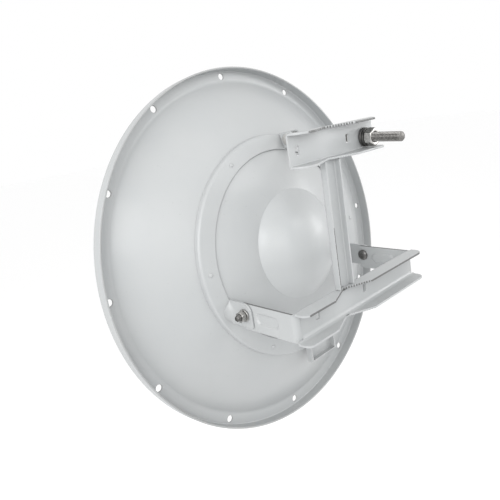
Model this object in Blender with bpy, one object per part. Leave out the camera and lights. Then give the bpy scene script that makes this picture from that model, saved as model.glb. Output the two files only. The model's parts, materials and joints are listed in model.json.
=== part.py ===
"""Microwave dish antenna with the bracket that clamps it to an upright pole.

World frame: the origin is the middle of the yoke's back face, +Y is the way the dish looks,
+X is to the right as seen from behind, and +Z is up. Sizes are in metres.
"""
import math

import bmesh
import bpy
from mathutils import Vector

GAP = 0.0003

# Reflector. The dish frame has its origin in the middle of the rim holes, +Z out of the bowl and +Y down.
HOLE_CIRCLE_RADIUS = 0.200
RIM_HOLE_RADIUS = 0.0036
RIM_HOLE_COUNT = 12
LIP_RADIUS = 0.208
LIP_DEPTH = 0.0125
LIP_EDGE = 0.0008
RIM_BLEND = 0.0006
BOWL_RADIUS = 0.193
BOWL_DEPTH = 0.072
DISH_SHEET = 0.002
DISH_CENTRE = Vector((0.031, 0.142, 0.03725))
DISH_TILT = math.radians(6.26)
DISH_SEGMENTS = 72

# Mounting ring and rear cover on the back of the bowl.
RING_INNER_RADIUS = 0.1056
RING_SHOULDER_RADIUS = 0.1205
RING_OUTER_RADIUS = 0.124
RING_RISE = 0.0020
RING_CONE_SLOPE = 0.22
RIVET_CIRCLE_RADIUS = 0.115
RIVET_RADIUS = 0.0015
RIVET_HEAD_RADIUS = 0.0024
RIVET_HEAD_HEIGHT = 0.0010
RIVET_ANGLES = (30, 90, 150, 210, 270, 330)
COVER_RADIUS = 0.060
COVER_HEIGHT = 0.027

# Feed inside the bowl.
FEED_RADIUS = 0.010
FEED_COLLAR_RADIUS = 0.026
FEED_COLLAR_THICKNESS = 0.004
SUB_REFLECTOR_RADIUS = 0.024
SUB_REFLECTOR_THICKNESS = 0.010
FOCUS_HEIGHT = BOWL_RADIUS ** 2 / (4 * BOWL_DEPTH)

# Pole bracket, bent from one sheet thickness.
SHEET = 0.002
BEND = 0.003
FLANGE_BACK = -0.0158
YOKE_LEFT = -0.069
YOKE_RIGHT = 0.131
YOKE_BEND = 0.006
YOKE_HALF_HEIGHT = 0.0151
YOKE_FLANGE_LEFT = -0.0712
YOKE_FLANGE_RIGHT = 0.128
YOKE_FLANGE_SET_BACK = -0.0012
YOKE_LEFT_RADIUS = 0.007
YOKE_RIGHT_RADIUS = 0.009
ARM_END = 0.0705
ARM_TOP = 0.0127
ARM_BOTTOM = -0.0158
ARM_EAR_RADIUS = 0.009
BEAD_START = 0.024
BEAD_END = 0.051
BEAD_CENTRE = -0.0006
BEAD_HALF_HEIGHT = 0.0044
BEAD_DEPTH = 0.0009
NOTCH_CENTRE = -0.0005
NOTCH_HALF_WIDTH = 0.029
NOTCH_BOTTOM = -0.0032
TOOTH_PITCH = 0.0027
TOOTH_DEPTH = 0.0010
STRAP_SLOT_WIDTH = 0.005
STRAP_SLOT_HEIGHT = 0.008
YOKE_SLOTS = ((-0.0392, 0.0015), (0.0362, 0.0015))
UPPER_LEFT = -0.0483
UPPER_RIGHT = 0.0772
UPPER_BOTTOM = 0.1388
UPPER_TOP = 0.1695
UPPER_LEFT_RADIUS = 0.013
UPPER_RIGHT_RADIUS = 0.008
UPPER_TOP_CUT = ((0.0792, 0.0007), (0.0792, -0.0200), (0.0565, -0.0200))
UPPER_SLOTS = ((-0.0375, 0.1538), (0.0353, 0.1538))
POST_LEFT = -0.0094
POST_RIGHT = 0.013
POST_BACK = -0.006

# Elevation pivot, with a bolt through each arm and lug.
PIVOT = Vector((0.031, 0.0652, 0.0015))
PIVOT_BORE = 0.0033
PIVOT_BOLT_RADIUS = 0.003
PIVOT_HEAD_RADIUS = 0.0065
PIVOT_HEAD_HEIGHT = 0.0035
PIVOT_WASHER_RADIUS = 0.0063
PIVOT_WASHER_THICKNESS = 0.0016
PIVOT_NUT_ACROSS_FLATS = 0.010
PIVOT_NUT_HEIGHT = 0.005
PIVOT_THREAD_END = 0.0112
PIVOT_CHAMFER = 0.0007
LUG_TOP = 0.0117
LUG_BOTTOM = -0.0133
LUG_BACK = -0.0092
LUG_EAR_RADIUS = 0.009
LUG_FOOT = (0.0300, 0.0490)

# Elevation adjuster, a threaded rod from the top clevis through the upper channel.
ROD_X = 0.061
ROD_RADIUS = 0.0048
ROD_SLOPE = math.radians(3.0)
ROD_TIP_Y = -0.0438
ROD_CHAMFER = 0.0013
PIN_Y = 0.0940
PIN_Z = 0.1564
PIN_RADIUS = 0.0035
PIN_BORE = 0.0038
PIN_HEAD_RADIUS = 0.0060
PIN_HEAD_HEIGHT = 0.003
PIN_THREAD_END = 0.0080
PIN_NUT_ACROSS_FLATS = 0.011
PIN_NUT_HEIGHT = 0.0055
EYE_RADIUS = 0.0072
EYE_WIDTH = 0.0104
ROD_BORE = 0.0051
NUT_ACROSS_FLATS = 0.016
NUT_HEIGHT = 0.008
OUTER_WASHER_RADIUS = 0.0095
OUTER_WASHER_THICKNESS = 0.0022
SPRING_WASHER_RADIUS = 0.009
SPRING_WASHER_THICKNESS = 0.0025
OUTER_WEB_CLEARANCE = 0.0010
INNER_WEB_CLEARANCE = 0.0016
ROD_SLOT_WIDTH = 0.0115
ROD_SLOT_BOTTOM = 0.1434
ROD_SLOT_TOP = 0.1594

# Brackets on the ring: a clevis for the rod above and a shallow spare one below.
CLEVIS_HALF_WIDTH = 0.0075
CLEVIS_EAR_RADIUS = 0.009
CLEVIS_FOOT = (0.1045, 0.1215)
SPARE_CLEVIS_LEFT = -0.0095
SPARE_CLEVIS_RIGHT = 0.033
SPARE_CLEVIS_TOP = 0.1060
SPARE_CLEVIS_LOW = 0.1215
SPARE_CLEVIS_END = 0.1395
SPARE_CLEVIS_END_HEIGHT = -0.0475
SPARE_CLEVIS_DEPTH = 0.0080

PAINT = (0.70, 0.72, 0.73, 1)
COVER_PAINT = (0.73, 0.75, 0.76, 1)
STEEL = (0.36, 0.36, 0.35, 1)
DARK_STEEL = (0.20, 0.20, 0.20, 1)
FEED_METAL = (0.62, 0.63, 0.64, 1)
WHITE_PLASTIC = (0.80, 0.80, 0.78, 1)


def clear_scene():
    for item in list(bpy.data.objects):
        bpy.data.objects.remove(item, do_unlink=True)


def make_material(name, colour, roughness, metallic):
    material = bpy.data.materials.new(name)
    material.use_nodes = True
    shader = material.node_tree.nodes["Principled BSDF"]
    shader.inputs["Base Color"].default_value = colour
    shader.inputs["Roughness"].default_value = roughness
    shader.inputs["Metallic"].default_value = metallic
    return material


def make_empty(name, location, rotation=(0, 0, 0), parent=None):
    empty = bpy.data.objects.new(name, None)
    empty.empty_display_size = 0.02
    bpy.context.collection.objects.link(empty)
    empty.parent = parent
    empty.location = location
    empty.rotation_euler = rotation
    return empty


def make_object(name, mesh_maker, finish, parent=None, location=(0, 0, 0), rotation=(0, 0, 0)):
    """Put what mesh_maker draws into a new object with a material of its own."""
    shape = bmesh.new()
    mesh_maker(shape)
    bmesh.ops.remove_doubles(shape, verts=shape.verts, dist=1e-6)
    bmesh.ops.recalc_face_normals(shape, faces=shape.faces)
    mesh = bpy.data.meshes.new(name)
    shape.to_mesh(mesh)
    shape.free()
    item = bpy.data.objects.new(name, mesh)
    bpy.context.collection.objects.link(item)
    colour, roughness, metallic = finish
    mesh.materials.append(make_material(name + "_finish", colour, roughness, metallic))
    mesh.shade_smooth()
    mesh.set_sharp_from_angle(angle=math.radians(32))
    item.parent = parent
    item.location = location
    item.rotation_euler = rotation
    return item


def cut(item, mesh_maker):
    """Subtract what mesh_maker draws in the item's own frame."""
    shape = bmesh.new()
    mesh_maker(shape)
    bmesh.ops.remove_doubles(shape, verts=shape.verts, dist=1e-6)
    bmesh.ops.recalc_face_normals(shape, faces=shape.faces)
    mesh = bpy.data.meshes.new(item.name + "_cutter")
    shape.to_mesh(mesh)
    shape.free()
    cutter = bpy.data.objects.new(item.name + "_cutter", mesh)
    bpy.context.collection.objects.link(cutter)
    cutter.parent = item.parent
    cutter.location = item.location
    cutter.rotation_euler = item.rotation_euler
    cutter.hide_render = True
    cutter.display_type = "WIRE"
    difference = item.modifiers.new("Cut", "BOOLEAN")
    difference.operation = "DIFFERENCE"
    difference.solver = "EXACT"
    difference.object = cutter
    return cutter


def arc(centre, radius, start, end, steps):
    """Points on an arc, with angles in degrees."""
    points = []
    for step in range(steps + 1):
        angle = math.radians(start + (end - start) * step / steps)
        points.append((centre[0] + radius * math.cos(angle), centre[1] + radius * math.sin(angle)))
    return points


def rounded(corners, steps=4):
    """Outline from corners (u, v) or (u, v, radius), each radius drawn as an arc."""
    outline = []
    count = len(corners)
    for index, corner in enumerate(corners):
        point = Vector(corner[:2])
        radius = corner[2] if len(corner) > 2 else 0
        if not radius:
            outline.append(tuple(point))
            continue
        before = (Vector(corners[index - 1][:2]) - point).normalized()
        after = (Vector(corners[(index + 1) % count][:2]) - point).normalized()
        half = before.angle(after) / 2
        centre = point + (before + after).normalized() * radius / math.sin(half)
        start = point + before * radius / math.tan(half) - centre
        sweep = math.pi - 2 * half
        turn = 1 if before.x * after.y - before.y * after.x < 0 else -1
        for step in range(steps + 1):
            angle = turn * sweep * step / steps
            spoke = Vector((start.x * math.cos(angle) - start.y * math.sin(angle),
                            start.x * math.sin(angle) + start.y * math.cos(angle)))
            outline.append(tuple(centre + spoke))
    return outline


def prism(shape, outline, axis, low, high):
    """Closed prism along axis; the outline is (y, z) for X, (x, z) for Y and (x, y) for Z."""
    place = {
        "X": lambda u, v, w: (w, u, v),
        "Y": lambda u, v, w: (u, w, v),
        "Z": lambda u, v, w: (u, v, w),
    }[axis]
    face = shape.faces.new([shape.verts.new(place(u, v, low)) for u, v in outline])
    raised = bmesh.ops.extrude_face_region(shape, geom=[face])
    new_verts = [part for part in raised["geom"] if isinstance(part, bmesh.types.BMVert)]
    bmesh.ops.translate(shape, verts=new_verts, vec=Vector(place(0, 0, high - low)))


def circle(centre, radius, sides):
    return arc(centre, radius, 0, 360 * (sides - 1) / sides, sides - 1)


def hexagon(centre, across_flats):
    """Hexagon with two of its corners on the second axis."""
    return arc(centre, across_flats / math.sqrt(3), 30, 330, 5)


def turned(shape, profile, segments):
    """Closed (radius, height) profile turned round the Z axis."""
    verts = [shape.verts.new((radius, 0, height)) for radius, height in profile]
    edges = [shape.edges.new((verts[i], verts[(i + 1) % len(verts)])) for i in range(len(verts))]
    bmesh.ops.spin(shape, geom=verts + edges, cent=(0, 0, 0), axis=(0, 0, 1),
                   angle=math.tau, steps=segments, use_merge=True)
    bmesh.ops.remove_doubles(shape, verts=shape.verts, dist=1e-6)
    loose = [edge for edge in shape.edges if not edge.link_faces]
    bmesh.ops.delete(shape, geom=loose, context="EDGES")


def bowl_back(radius):
    """Height of the bowl's back face in the dish frame."""
    return -BOWL_DEPTH * (1 - (radius / BOWL_RADIUS) ** 2)


def bowl_front(radius):
    slope = 2 * BOWL_DEPTH * radius / BOWL_RADIUS ** 2
    return bowl_back(radius) + DISH_SHEET * math.hypot(1, slope)


def ring_top(radius):
    """Height of the ring's back face in the dish frame."""
    inner = bowl_back(RING_INNER_RADIUS) - RING_RISE
    return inner + RING_CONE_SLOPE * (radius - RING_INNER_RADIUS)


BOWL_STEPS = [0.0110, 0.030, COVER_RADIUS, 0.085, RING_INNER_RADIUS, 0.115, RING_OUTER_RADIUS,
              0.140, 0.158, 0.176, BOWL_RADIUS]
BOWL_SEAT_STEPS = [step for step in BOWL_STEPS if RING_INNER_RADIUS <= step <= RING_OUTER_RADIUS]
PAINTED = (PAINT, 0.42, 0.0)
COVERED = (COVER_PAINT, 0.40, 0.0)
BRIGHT = (STEEL, 0.25, 1.0)
DARK = (DARK_STEEL, 0.30, 1.0)


def reflector(dish):
    """Bowl with a flat flange and a short lip turned back round the rim."""
    back = [(radius, bowl_back(radius)) for radius in BOWL_STEPS[:-1]]
    front = [(radius, bowl_front(radius)) for radius in BOWL_STEPS[:-1]]
    rim_back = [(BOWL_RADIUS, -RIM_BLEND), (BOWL_RADIUS + 0.002, 0.0)]
    lip = [
        (LIP_RADIUS - DISH_SHEET, 0.0),
        (LIP_RADIUS - DISH_SHEET, -LIP_DEPTH),
        (LIP_RADIUS, -LIP_DEPTH),
        (LIP_RADIUS, DISH_SHEET - LIP_EDGE),
        (LIP_RADIUS - LIP_EDGE, DISH_SHEET),
    ]
    rim_front = [(BOWL_RADIUS + 0.0008, DISH_SHEET), (BOWL_RADIUS - 0.0014, DISH_SHEET - RIM_BLEND)]
    profile = back + rim_back + lip + rim_front + front[::-1]
    item = make_object("reflector", lambda shape: turned(shape, profile, DISH_SEGMENTS), PAINTED, dish)

    def holes(shape):
        for index in range(RIM_HOLE_COUNT):
            angle = math.tau * index / RIM_HOLE_COUNT
            spot = (HOLE_CIRCLE_RADIUS * math.sin(angle), -HOLE_CIRCLE_RADIUS * math.cos(angle))
            prism(shape, circle(spot, RIM_HOLE_RADIUS, 12), "Z", -2 * DISH_SHEET, 3 * DISH_SHEET)
        rivet_holes(shape)

    cut(item, holes)


def rivet_spots():
    """Centres of the rivets in the dish frame, clockwise from the top as seen from behind."""
    spots = []
    for angle in RIVET_ANGLES:
        turn = math.radians(angle)
        spots.append((RIVET_CIRCLE_RADIUS * math.sin(turn), -RIVET_CIRCLE_RADIUS * math.cos(turn)))
    return spots


def rivet_holes(shape):
    for spot in rivet_spots():
        prism(shape, circle(spot, RIVET_RADIUS + GAP, 8), "Z", -0.070, -0.030)


def mounting_ring(dish):
    """Flat cone riveted to the back of the bowl, with a rounded outer edge."""
    seat = [(radius, bowl_back(radius) - GAP) for radius in BOWL_SEAT_STEPS]
    foot = bowl_back(RING_OUTER_RADIUS)
    shoulder = ring_top(RING_SHOULDER_RADIUS)
    back = [
        (RING_OUTER_RADIUS, foot - 0.0020),
        (RING_OUTER_RADIUS - 0.0010, shoulder + 0.0018),
        (RING_SHOULDER_RADIUS + 0.0008, shoulder + 0.0004),
        (RING_SHOULDER_RADIUS - 0.0010, ring_top(RING_SHOULDER_RADIUS - 0.0010)),
        (RIVET_CIRCLE_RADIUS, ring_top(RIVET_CIRCLE_RADIUS)),
        (RING_INNER_RADIUS, ring_top(RING_INNER_RADIUS)),
    ]
    item = make_object("mounting_ring", lambda shape: turned(shape, seat + back, DISH_SEGMENTS),
                       PAINTED, dish)
    cut(item, rivet_holes)


def rivets(dish):
    top = ring_top(RIVET_CIRCLE_RADIUS)
    lean = GAP + RING_CONE_SLOPE * RIVET_HEAD_RADIUS
    steep = 2 * BOWL_DEPTH * RIVET_CIRCLE_RADIUS / BOWL_RADIUS ** 2
    inside = bowl_front(RIVET_CIRCLE_RADIUS) + GAP + steep * RIVET_RADIUS * 1.2
    profile = [
        (0, top - lean - RIVET_HEAD_HEIGHT),
        (RIVET_HEAD_RADIUS * 0.6, top - lean - RIVET_HEAD_HEIGHT * 0.8),
        (RIVET_HEAD_RADIUS, top - lean),
        (RIVET_RADIUS, top - lean),
        (RIVET_RADIUS, inside),
        (0, inside),
    ]
    for number, spot in enumerate(rivet_spots(), start=1):
        make_object("ring_rivet_%d" % number, lambda shape: turned(shape, profile[::-1], 10),
                    PAINTED, dish, location=(spot[0], spot[1], 0))


def rear_cover(dish):
    base = bowl_back(COVER_RADIUS) - GAP
    sphere = (COVER_RADIUS ** 2 + COVER_HEIGHT ** 2) / (2 * COVER_HEIGHT)
    centre = base + sphere - COVER_HEIGHT
    edge_angle = math.asin(COVER_RADIUS / sphere)
    cap = []
    steps = 9
    for step in range(steps + 1):
        angle = edge_angle * (1 - step / steps)
        cap.append((sphere * math.sin(angle), centre - sphere * math.cos(angle)))
    seat = [(radius, bowl_back(radius) - GAP) for radius in (0.0, 0.0110, 0.030)]
    profile = cap + seat
    make_object("rear_cover", lambda shape: turned(shape, profile, DISH_SEGMENTS), COVERED, dish)


def feed(dish):
    vertex = bowl_back(0.0110)
    collar_low = bowl_front(FEED_COLLAR_RADIUS) + GAP
    collar_top = collar_low + FEED_COLLAR_THICKNESS
    focus = bowl_front(0.0) + FOCUS_HEIGHT
    plate_low = focus - SUB_REFLECTOR_THICKNESS / 2
    tube = [
        (FEED_RADIUS, plate_low),
        (FEED_RADIUS, vertex),
        (FEED_RADIUS - 0.0015, vertex),
        (FEED_RADIUS - 0.0015, plate_low),
    ]
    make_object("feed_tube", lambda shape: turned(shape, tube, 24), (FEED_METAL, 0.35, 1.0), dish)
    collar = [
        (FEED_COLLAR_RADIUS, collar_top - 0.001),
        (FEED_COLLAR_RADIUS, collar_low),
        (FEED_RADIUS + GAP, collar_low),
        (FEED_RADIUS + GAP, collar_top),
        (FEED_COLLAR_RADIUS - 0.001, collar_top),
    ]
    make_object("feed_collar", lambda shape: turned(shape, collar, 36), (FEED_METAL, 0.40, 1.0), dish)
    head = [
        (0, plate_low + SUB_REFLECTOR_THICKNESS),
        (SUB_REFLECTOR_RADIUS - 0.002, plate_low + SUB_REFLECTOR_THICKNESS),
        (SUB_REFLECTOR_RADIUS, plate_low + SUB_REFLECTOR_THICKNESS - 0.002),
        (SUB_REFLECTOR_RADIUS, plate_low + 0.005),
        (FEED_RADIUS, plate_low + GAP),
        (0, plate_low + GAP),
    ]
    make_object("sub_reflector", lambda shape: turned(shape, head, 36), (WHITE_PLASTIC, 0.45, 0.0), dish)


def toothed(start, end):
    """Saw teeth along an edge, from start to end, cutting back to its left."""
    start, end = Vector(start), Vector(end)
    length = (end - start).length
    along = (end - start) / length
    inward = Vector((-along.y, along.x)) * TOOTH_DEPTH
    count = int(length / TOOTH_PITCH)
    pitch = length / count
    points = []
    for tooth in range(count):
        points.append(tuple(start + along * pitch * tooth))
        points.append(tuple(start + along * pitch * (tooth + 0.5) + inward))
    points.append(tuple(end))
    return points


def notch():
    """The toothed notch for the pole, from its left end to its right end."""
    bottom = (NOTCH_CENTRE, NOTCH_BOTTOM)
    left = toothed((NOTCH_CENTRE - NOTCH_HALF_WIDTH, FLANGE_BACK), bottom)
    right = toothed(bottom, (NOTCH_CENTRE + NOTCH_HALF_WIDTH, FLANGE_BACK))
    return left + right[1:]


def bend_corner(edge, inward):
    """What a bend leaves off the square corner of a web's front face and an edge, in (y, z)."""
    front, past = SHEET + 0.001, edge - inward * 0.001
    centre = (SHEET - BEND, edge + inward * BEND)
    curve = arc(centre, BEND, 0, -90 * inward, 4)
    return curve + [(centre[0], past), (front, past), (front, centre[1])]


def trough(low, high):
    """Hollow behind a channel's web, in (y, z)."""
    inner = BEND - SHEET
    past = FLANGE_BACK - 0.01
    return rounded([(past, low + SHEET), (0, low + SHEET, inner), (0, high - SHEET, inner),
                    (past, high - SHEET)], steps=2)


def box_outline(centre, width, height):
    u, v = centre
    return [(u - width / 2, v - height / 2), (u + width / 2, v - height / 2),
            (u + width / 2, v + height / 2), (u - width / 2, v + height / 2)]


def strap_slots(shape, centres):
    for centre in centres:
        prism(shape, box_outline(centre, STRAP_SLOT_WIDTH, STRAP_SLOT_HEIGHT), "Y", -SHEET, 2 * SHEET)


def yoke():
    """Lower channel with a notch for the pole and two arms bent forward to the pivot."""
    left, right = YOKE_LEFT, YOKE_RIGHT
    web_left, web_right = left + YOKE_BEND, right - YOKE_BEND
    bend_left = rounded([(left, ARM_END), (left, 0, YOKE_BEND), (0, 0)])[:-1]
    bend_right = rounded([(0, 0), (right, 0, YOKE_BEND), (right, ARM_END)])[1:]
    relief = YOKE_FLANGE_SET_BACK
    end_left = rounded([
        (web_left, 0), (web_left, relief), (YOKE_FLANGE_LEFT, relief, 0.001),
        (YOKE_FLANGE_LEFT, FLANGE_BACK, YOKE_LEFT_RADIUS), (0, FLANGE_BACK)])[1:-1]
    end_right = rounded([
        (0, FLANGE_BACK), (YOKE_FLANGE_RIGHT, FLANGE_BACK, YOKE_RIGHT_RADIUS),
        (YOKE_FLANGE_RIGHT, relief, 0.001), (web_right, relief), (web_right, 0)])[1:-1]
    inner = YOKE_BEND - SHEET
    inside = rounded([
        (right, ARM_END), (right - SHEET, ARM_END), (right - SHEET, SHEET, inner),
        (left + SHEET, SHEET, inner), (left + SHEET, ARM_END), (left, ARM_END)])[1:-1]
    outline = bend_left + end_left + notch() + end_right + bend_right + inside
    low, high = -YOKE_HALF_HEIGHT, YOKE_HALF_HEIGHT
    item = make_object("yoke", lambda shape: prism(shape, outline, "Z", low, high), PAINTED)

    def channel(shape):
        prism(shape, trough(low, high), "X", YOKE_FLANGE_LEFT - 0.001, YOKE_FLANGE_RIGHT + 0.001)
        prism(shape, bend_corner(high, -1), "X", web_left + 0.001, web_right - 0.001)
        prism(shape, bend_corner(low, 1), "X", web_left + 0.001, web_right - 0.001)

    def arm_edges(shape):
        past, back = ARM_END + 0.01, -0.0005
        top = rounded([(back, ARM_TOP), (ARM_END, ARM_TOP, ARM_EAR_RADIUS), (ARM_END, 0), (past, 0)])
        bottom = rounded([(past, 0), (ARM_END, 0), (ARM_END, ARM_BOTTOM, ARM_EAR_RADIUS), (back, ARM_BOTTOM)])
        above = [(past, high + 0.01), (back, high + 0.01)]
        below = [(back, low - 0.01), (past, low - 0.01)]
        for x_low, x_high in ((left - 0.005, web_left - 0.0004), (web_right + 0.0004, right + 0.005)):
            prism(shape, top + above, "X", x_low, x_high)
            prism(shape, bottom + below, "X", x_low, x_high)

    def openings(shape):
        strap_slots(shape, YOKE_SLOTS)
        bead_low, bead_high = BEAD_CENTRE - BEAD_HALF_HEIGHT, BEAD_CENTRE + BEAD_HALF_HEIGHT
        bead = rounded([(BEAD_START, bead_low, 0.004), (BEAD_END, bead_low, 0.004),
                        (BEAD_END, bead_high, 0.004), (BEAD_START, bead_high, 0.004)])
        for arm, sign in ((left, 1), (right, -1)):
            prism(shape, circle((PIVOT.y, PIVOT.z), PIVOT_BORE, 16), "X", arm - 0.005, arm + 0.005)
            edges = sorted((arm - sign * 0.002, arm + sign * BEAD_DEPTH))
            prism(shape, bead, "X", edges[0], edges[1])

    cut(item, channel)
    cut(item, arm_edges)
    cut(item, openings)


def upper_channel():
    """Upper channel with the same notch and a slot for the adjuster rod."""
    end_left = rounded([(UPPER_LEFT, SHEET), (UPPER_LEFT, FLANGE_BACK, UPPER_LEFT_RADIUS),
                        (0, FLANGE_BACK)])[:-1]
    end_right = rounded([(0, FLANGE_BACK), (UPPER_RIGHT, FLANGE_BACK, UPPER_RIGHT_RADIUS),
                         (UPPER_RIGHT, SHEET)])[1:]
    outline = end_left + notch() + end_right
    item = make_object("upper_channel",
                       lambda shape: prism(shape, outline, "Z", UPPER_BOTTOM, UPPER_TOP), PAINTED)

    def channel(shape):
        left, right = UPPER_LEFT - 0.002, UPPER_RIGHT + 0.002
        prism(shape, trough(UPPER_BOTTOM, UPPER_TOP), "X", left, right)
        prism(shape, bend_corner(UPPER_TOP, -1), "X", left, right)
        prism(shape, bend_corner(UPPER_BOTTOM, 1), "X", left, right)

    def openings(shape):
        strap_slots(shape, UPPER_SLOTS)
        half = ROD_SLOT_WIDTH / 2
        end = half * 0.98
        rod_slot = rounded([
            (ROD_X - half, ROD_SLOT_BOTTOM, end), (ROD_X + half, ROD_SLOT_BOTTOM, end),
            (ROD_X + half, ROD_SLOT_TOP, end), (ROD_X - half, ROD_SLOT_TOP, end)])
        prism(shape, rod_slot, "Y", -SHEET, 2 * SHEET)
        prism(shape, UPPER_TOP_CUT, "Z", UPPER_TOP - 2 * SHEET, UPPER_TOP + SHEET)

    cut(item, channel)
    cut(item, openings)


def post_channel():
    """Narrow channel that joins the yoke and the upper channel."""
    left, right = POST_LEFT, POST_RIGHT
    outline = rounded([
        (left, POST_BACK), (left + SHEET, POST_BACK), (left + SHEET, 0, BEND - SHEET + 0.0005),
        (right - SHEET, 0, BEND - SHEET + 0.0005), (right - SHEET, POST_BACK), (right, POST_BACK),
        (right, SHEET, BEND), (left, SHEET, BEND)])
    low, high = YOKE_HALF_HEIGHT + GAP, UPPER_BOTTOM - GAP
    make_object("post_channel", lambda shape: prism(shape, outline, "Z", low, high), PAINTED)


def pivot_hardware():
    """A round-headed bolt inside each arm, with a washer and a nut outside the lug."""
    across_y = (PIVOT.y, PIVOT.z)
    for side, sign, arm in (("left", -1, YOKE_LEFT), ("right", 1, YOKE_RIGHT)):
        arm_inner = arm - sign * SHEET
        lug_outer = arm + sign * (2 * GAP + SHEET)
        washer_outer = lug_outer + sign * (GAP + PIVOT_WASHER_THICKNESS)
        nut_outer = washer_outer + sign * (GAP + PIVOT_NUT_HEIGHT)
        reach = abs(lug_outer - arm_inner) + PIVOT_THREAD_END
        bolt = [
            (0, reach),
            (PIVOT_BOLT_RADIUS - PIVOT_CHAMFER, reach),
            (PIVOT_BOLT_RADIUS, reach - PIVOT_CHAMFER),
            (PIVOT_BOLT_RADIUS, -GAP),
            (PIVOT_HEAD_RADIUS, -GAP),
            (PIVOT_HEAD_RADIUS * 0.93, -GAP - PIVOT_HEAD_HEIGHT * 0.45),
            (PIVOT_HEAD_RADIUS * 0.62, -GAP - PIVOT_HEAD_HEIGHT * 0.85),
            (0, -GAP - PIVOT_HEAD_HEIGHT),
        ]
        aim = (0, sign * math.pi / 2, 0)
        make_object(side + "_pivot_bolt", lambda shape: turned(shape, bolt, 20), DARK,
                    location=(arm_inner, PIVOT.y, PIVOT.z), rotation=aim)
        washer_low, washer_high = sorted((lug_outer + sign * GAP, washer_outer))
        nut_low, nut_high = sorted((washer_outer + sign * GAP, nut_outer))

        def washer(shape):
            prism(shape, circle(across_y, PIVOT_WASHER_RADIUS, 24), "X", washer_low, washer_high)

        def nut(shape):
            prism(shape, hexagon(across_y, PIVOT_NUT_ACROSS_FLATS), "X", nut_low, nut_high)

        def bore(shape):
            prism(shape, circle(across_y, PIVOT_BORE, 16), "X", washer_low - 0.001, washer_high + 0.001)

        def thread(shape):
            prism(shape, circle(across_y, PIVOT_BORE, 16), "X", nut_low - 0.001, nut_high + 0.001)

        cut(make_object(side + "_pivot_washer", washer, BRIGHT), bore)
        cut(make_object(side + "_pivot_nut", nut, BRIGHT), thread)


def to_axis(y_dish, z_dish):
    """A point of the dish frame as (y, z) from the elevation axis."""
    y = -math.sin(DISH_TILT) * y_dish + math.cos(DISH_TILT) * z_dish + DISH_CENTRE.y - PIVOT.y
    z = -math.cos(DISH_TILT) * y_dish - math.sin(DISH_TILT) * z_dish + DISH_CENTRE.z - PIVOT.z
    return (y, z)


def foot_point(x, y_dish):
    """Where a plate at x would stand on the ring at that height, as (y, z) from the elevation axis."""
    radius = max(math.hypot(x, y_dish), RING_INNER_RADIUS)
    return to_axis(y_dish, ring_top(radius) - GAP * 1.6)


def lugs(elevation):
    """Plates on the ring, just outside the arms, that carry the pivot bolts."""
    half = (YOKE_RIGHT - YOKE_LEFT) / 2 + GAP
    high = foot_point(half, LUG_FOOT[0])
    low = foot_point(half, LUG_FOOT[1])
    outline = rounded([
        low, high, (LUG_BACK, LUG_TOP, LUG_EAR_RADIUS), (LUG_BACK, LUG_BOTTOM, LUG_EAR_RADIUS)])
    for side, sign in (("left", -1), ("right", 1)):
        inner, outer = sorted((sign * half, sign * (half + SHEET)))

        def plate(shape, inner=inner, outer=outer):
            prism(shape, outline, "X", inner, outer)

        def bore(shape, inner=inner, outer=outer):
            prism(shape, circle((0, 0), PIVOT_BORE, 16), "X", inner - 0.001, outer + 0.001)

        item = make_object(side + "_lug", plate, PAINTED, elevation)
        cut(item, bore)


def top_clevis(elevation):
    """Two ears and a base on the ring, with the pin of the adjuster rod through them."""
    middle = ROD_X - PIVOT.x
    pin = (PIN_Y - PIVOT.y, PIN_Z - PIVOT.z)
    low = foot_point(middle - CLEVIS_HALF_WIDTH, -CLEVIS_FOOT[0])
    high = foot_point(middle - CLEVIS_HALF_WIDTH, -CLEVIS_FOOT[1])
    ear = arc(pin, CLEVIS_EAR_RADIUS, 100, 260, 10)
    outline = [high] + ear + [low]
    rise = Vector((-1, 0)) * SHEET
    inside = [tuple(Vector(low) + rise), tuple(Vector(high) + rise)]
    x_low, x_high = middle - CLEVIS_HALF_WIDTH, middle + CLEVIS_HALF_WIDTH
    item = make_object("top_clevis", lambda shape: prism(shape, outline, "X", x_low, x_high),
                       PAINTED, elevation)

    def hollow(shape):
        room = [inside[0], inside[1], (inside[1][0], pin[1] + 0.03), (pin[0] - 0.04, pin[1] + 0.03),
                (pin[0] - 0.04, pin[1] - 0.03), (inside[0][0], pin[1] - 0.03)]
        prism(shape, room, "X", x_low + SHEET, x_high - SHEET)

    def bore(shape):
        prism(shape, circle(pin, PIN_BORE, 16), "X", x_low - 0.001, x_high + 0.001)

    cut(item, hollow)
    cut(item, bore)


def bottom_clevis(dish):
    """A shallow bracket below, for hanging the antenna the other way up."""
    top = Vector((SPARE_CLEVIS_TOP, ring_top(RING_INNER_RADIUS) - GAP))
    low = Vector((SPARE_CLEVIS_LOW, ring_top(SPARE_CLEVIS_LOW) - GAP))
    end = Vector((SPARE_CLEVIS_END, SPARE_CLEVIS_END_HEIGHT))
    depth, sheet = Vector((0, -SPARE_CLEVIS_DEPTH)), Vector((0, -SHEET))
    outline = [tuple(point) for point in (top, low, end, end + depth, low + depth, top + depth)]
    x_low, x_high = SPARE_CLEVIS_LEFT, SPARE_CLEVIS_RIGHT
    item = make_object("bottom_clevis", lambda shape: prism(shape, outline, "X", x_low, x_high),
                       PAINTED, dish)

    def hollow(shape):
        above, below, behind = SPARE_CLEVIS_TOP - 0.01, SPARE_CLEVIS_END + 0.01, end.y - 0.03
        room = [(above, top.y - SHEET), tuple(top + sheet), tuple(low + sheet), tuple(end + sheet),
                (below, end.y - SHEET), (below, behind), (above, behind)]
        prism(shape, room, "X", x_low + SHEET, x_high - SHEET)

    cut(item, hollow)


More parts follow.
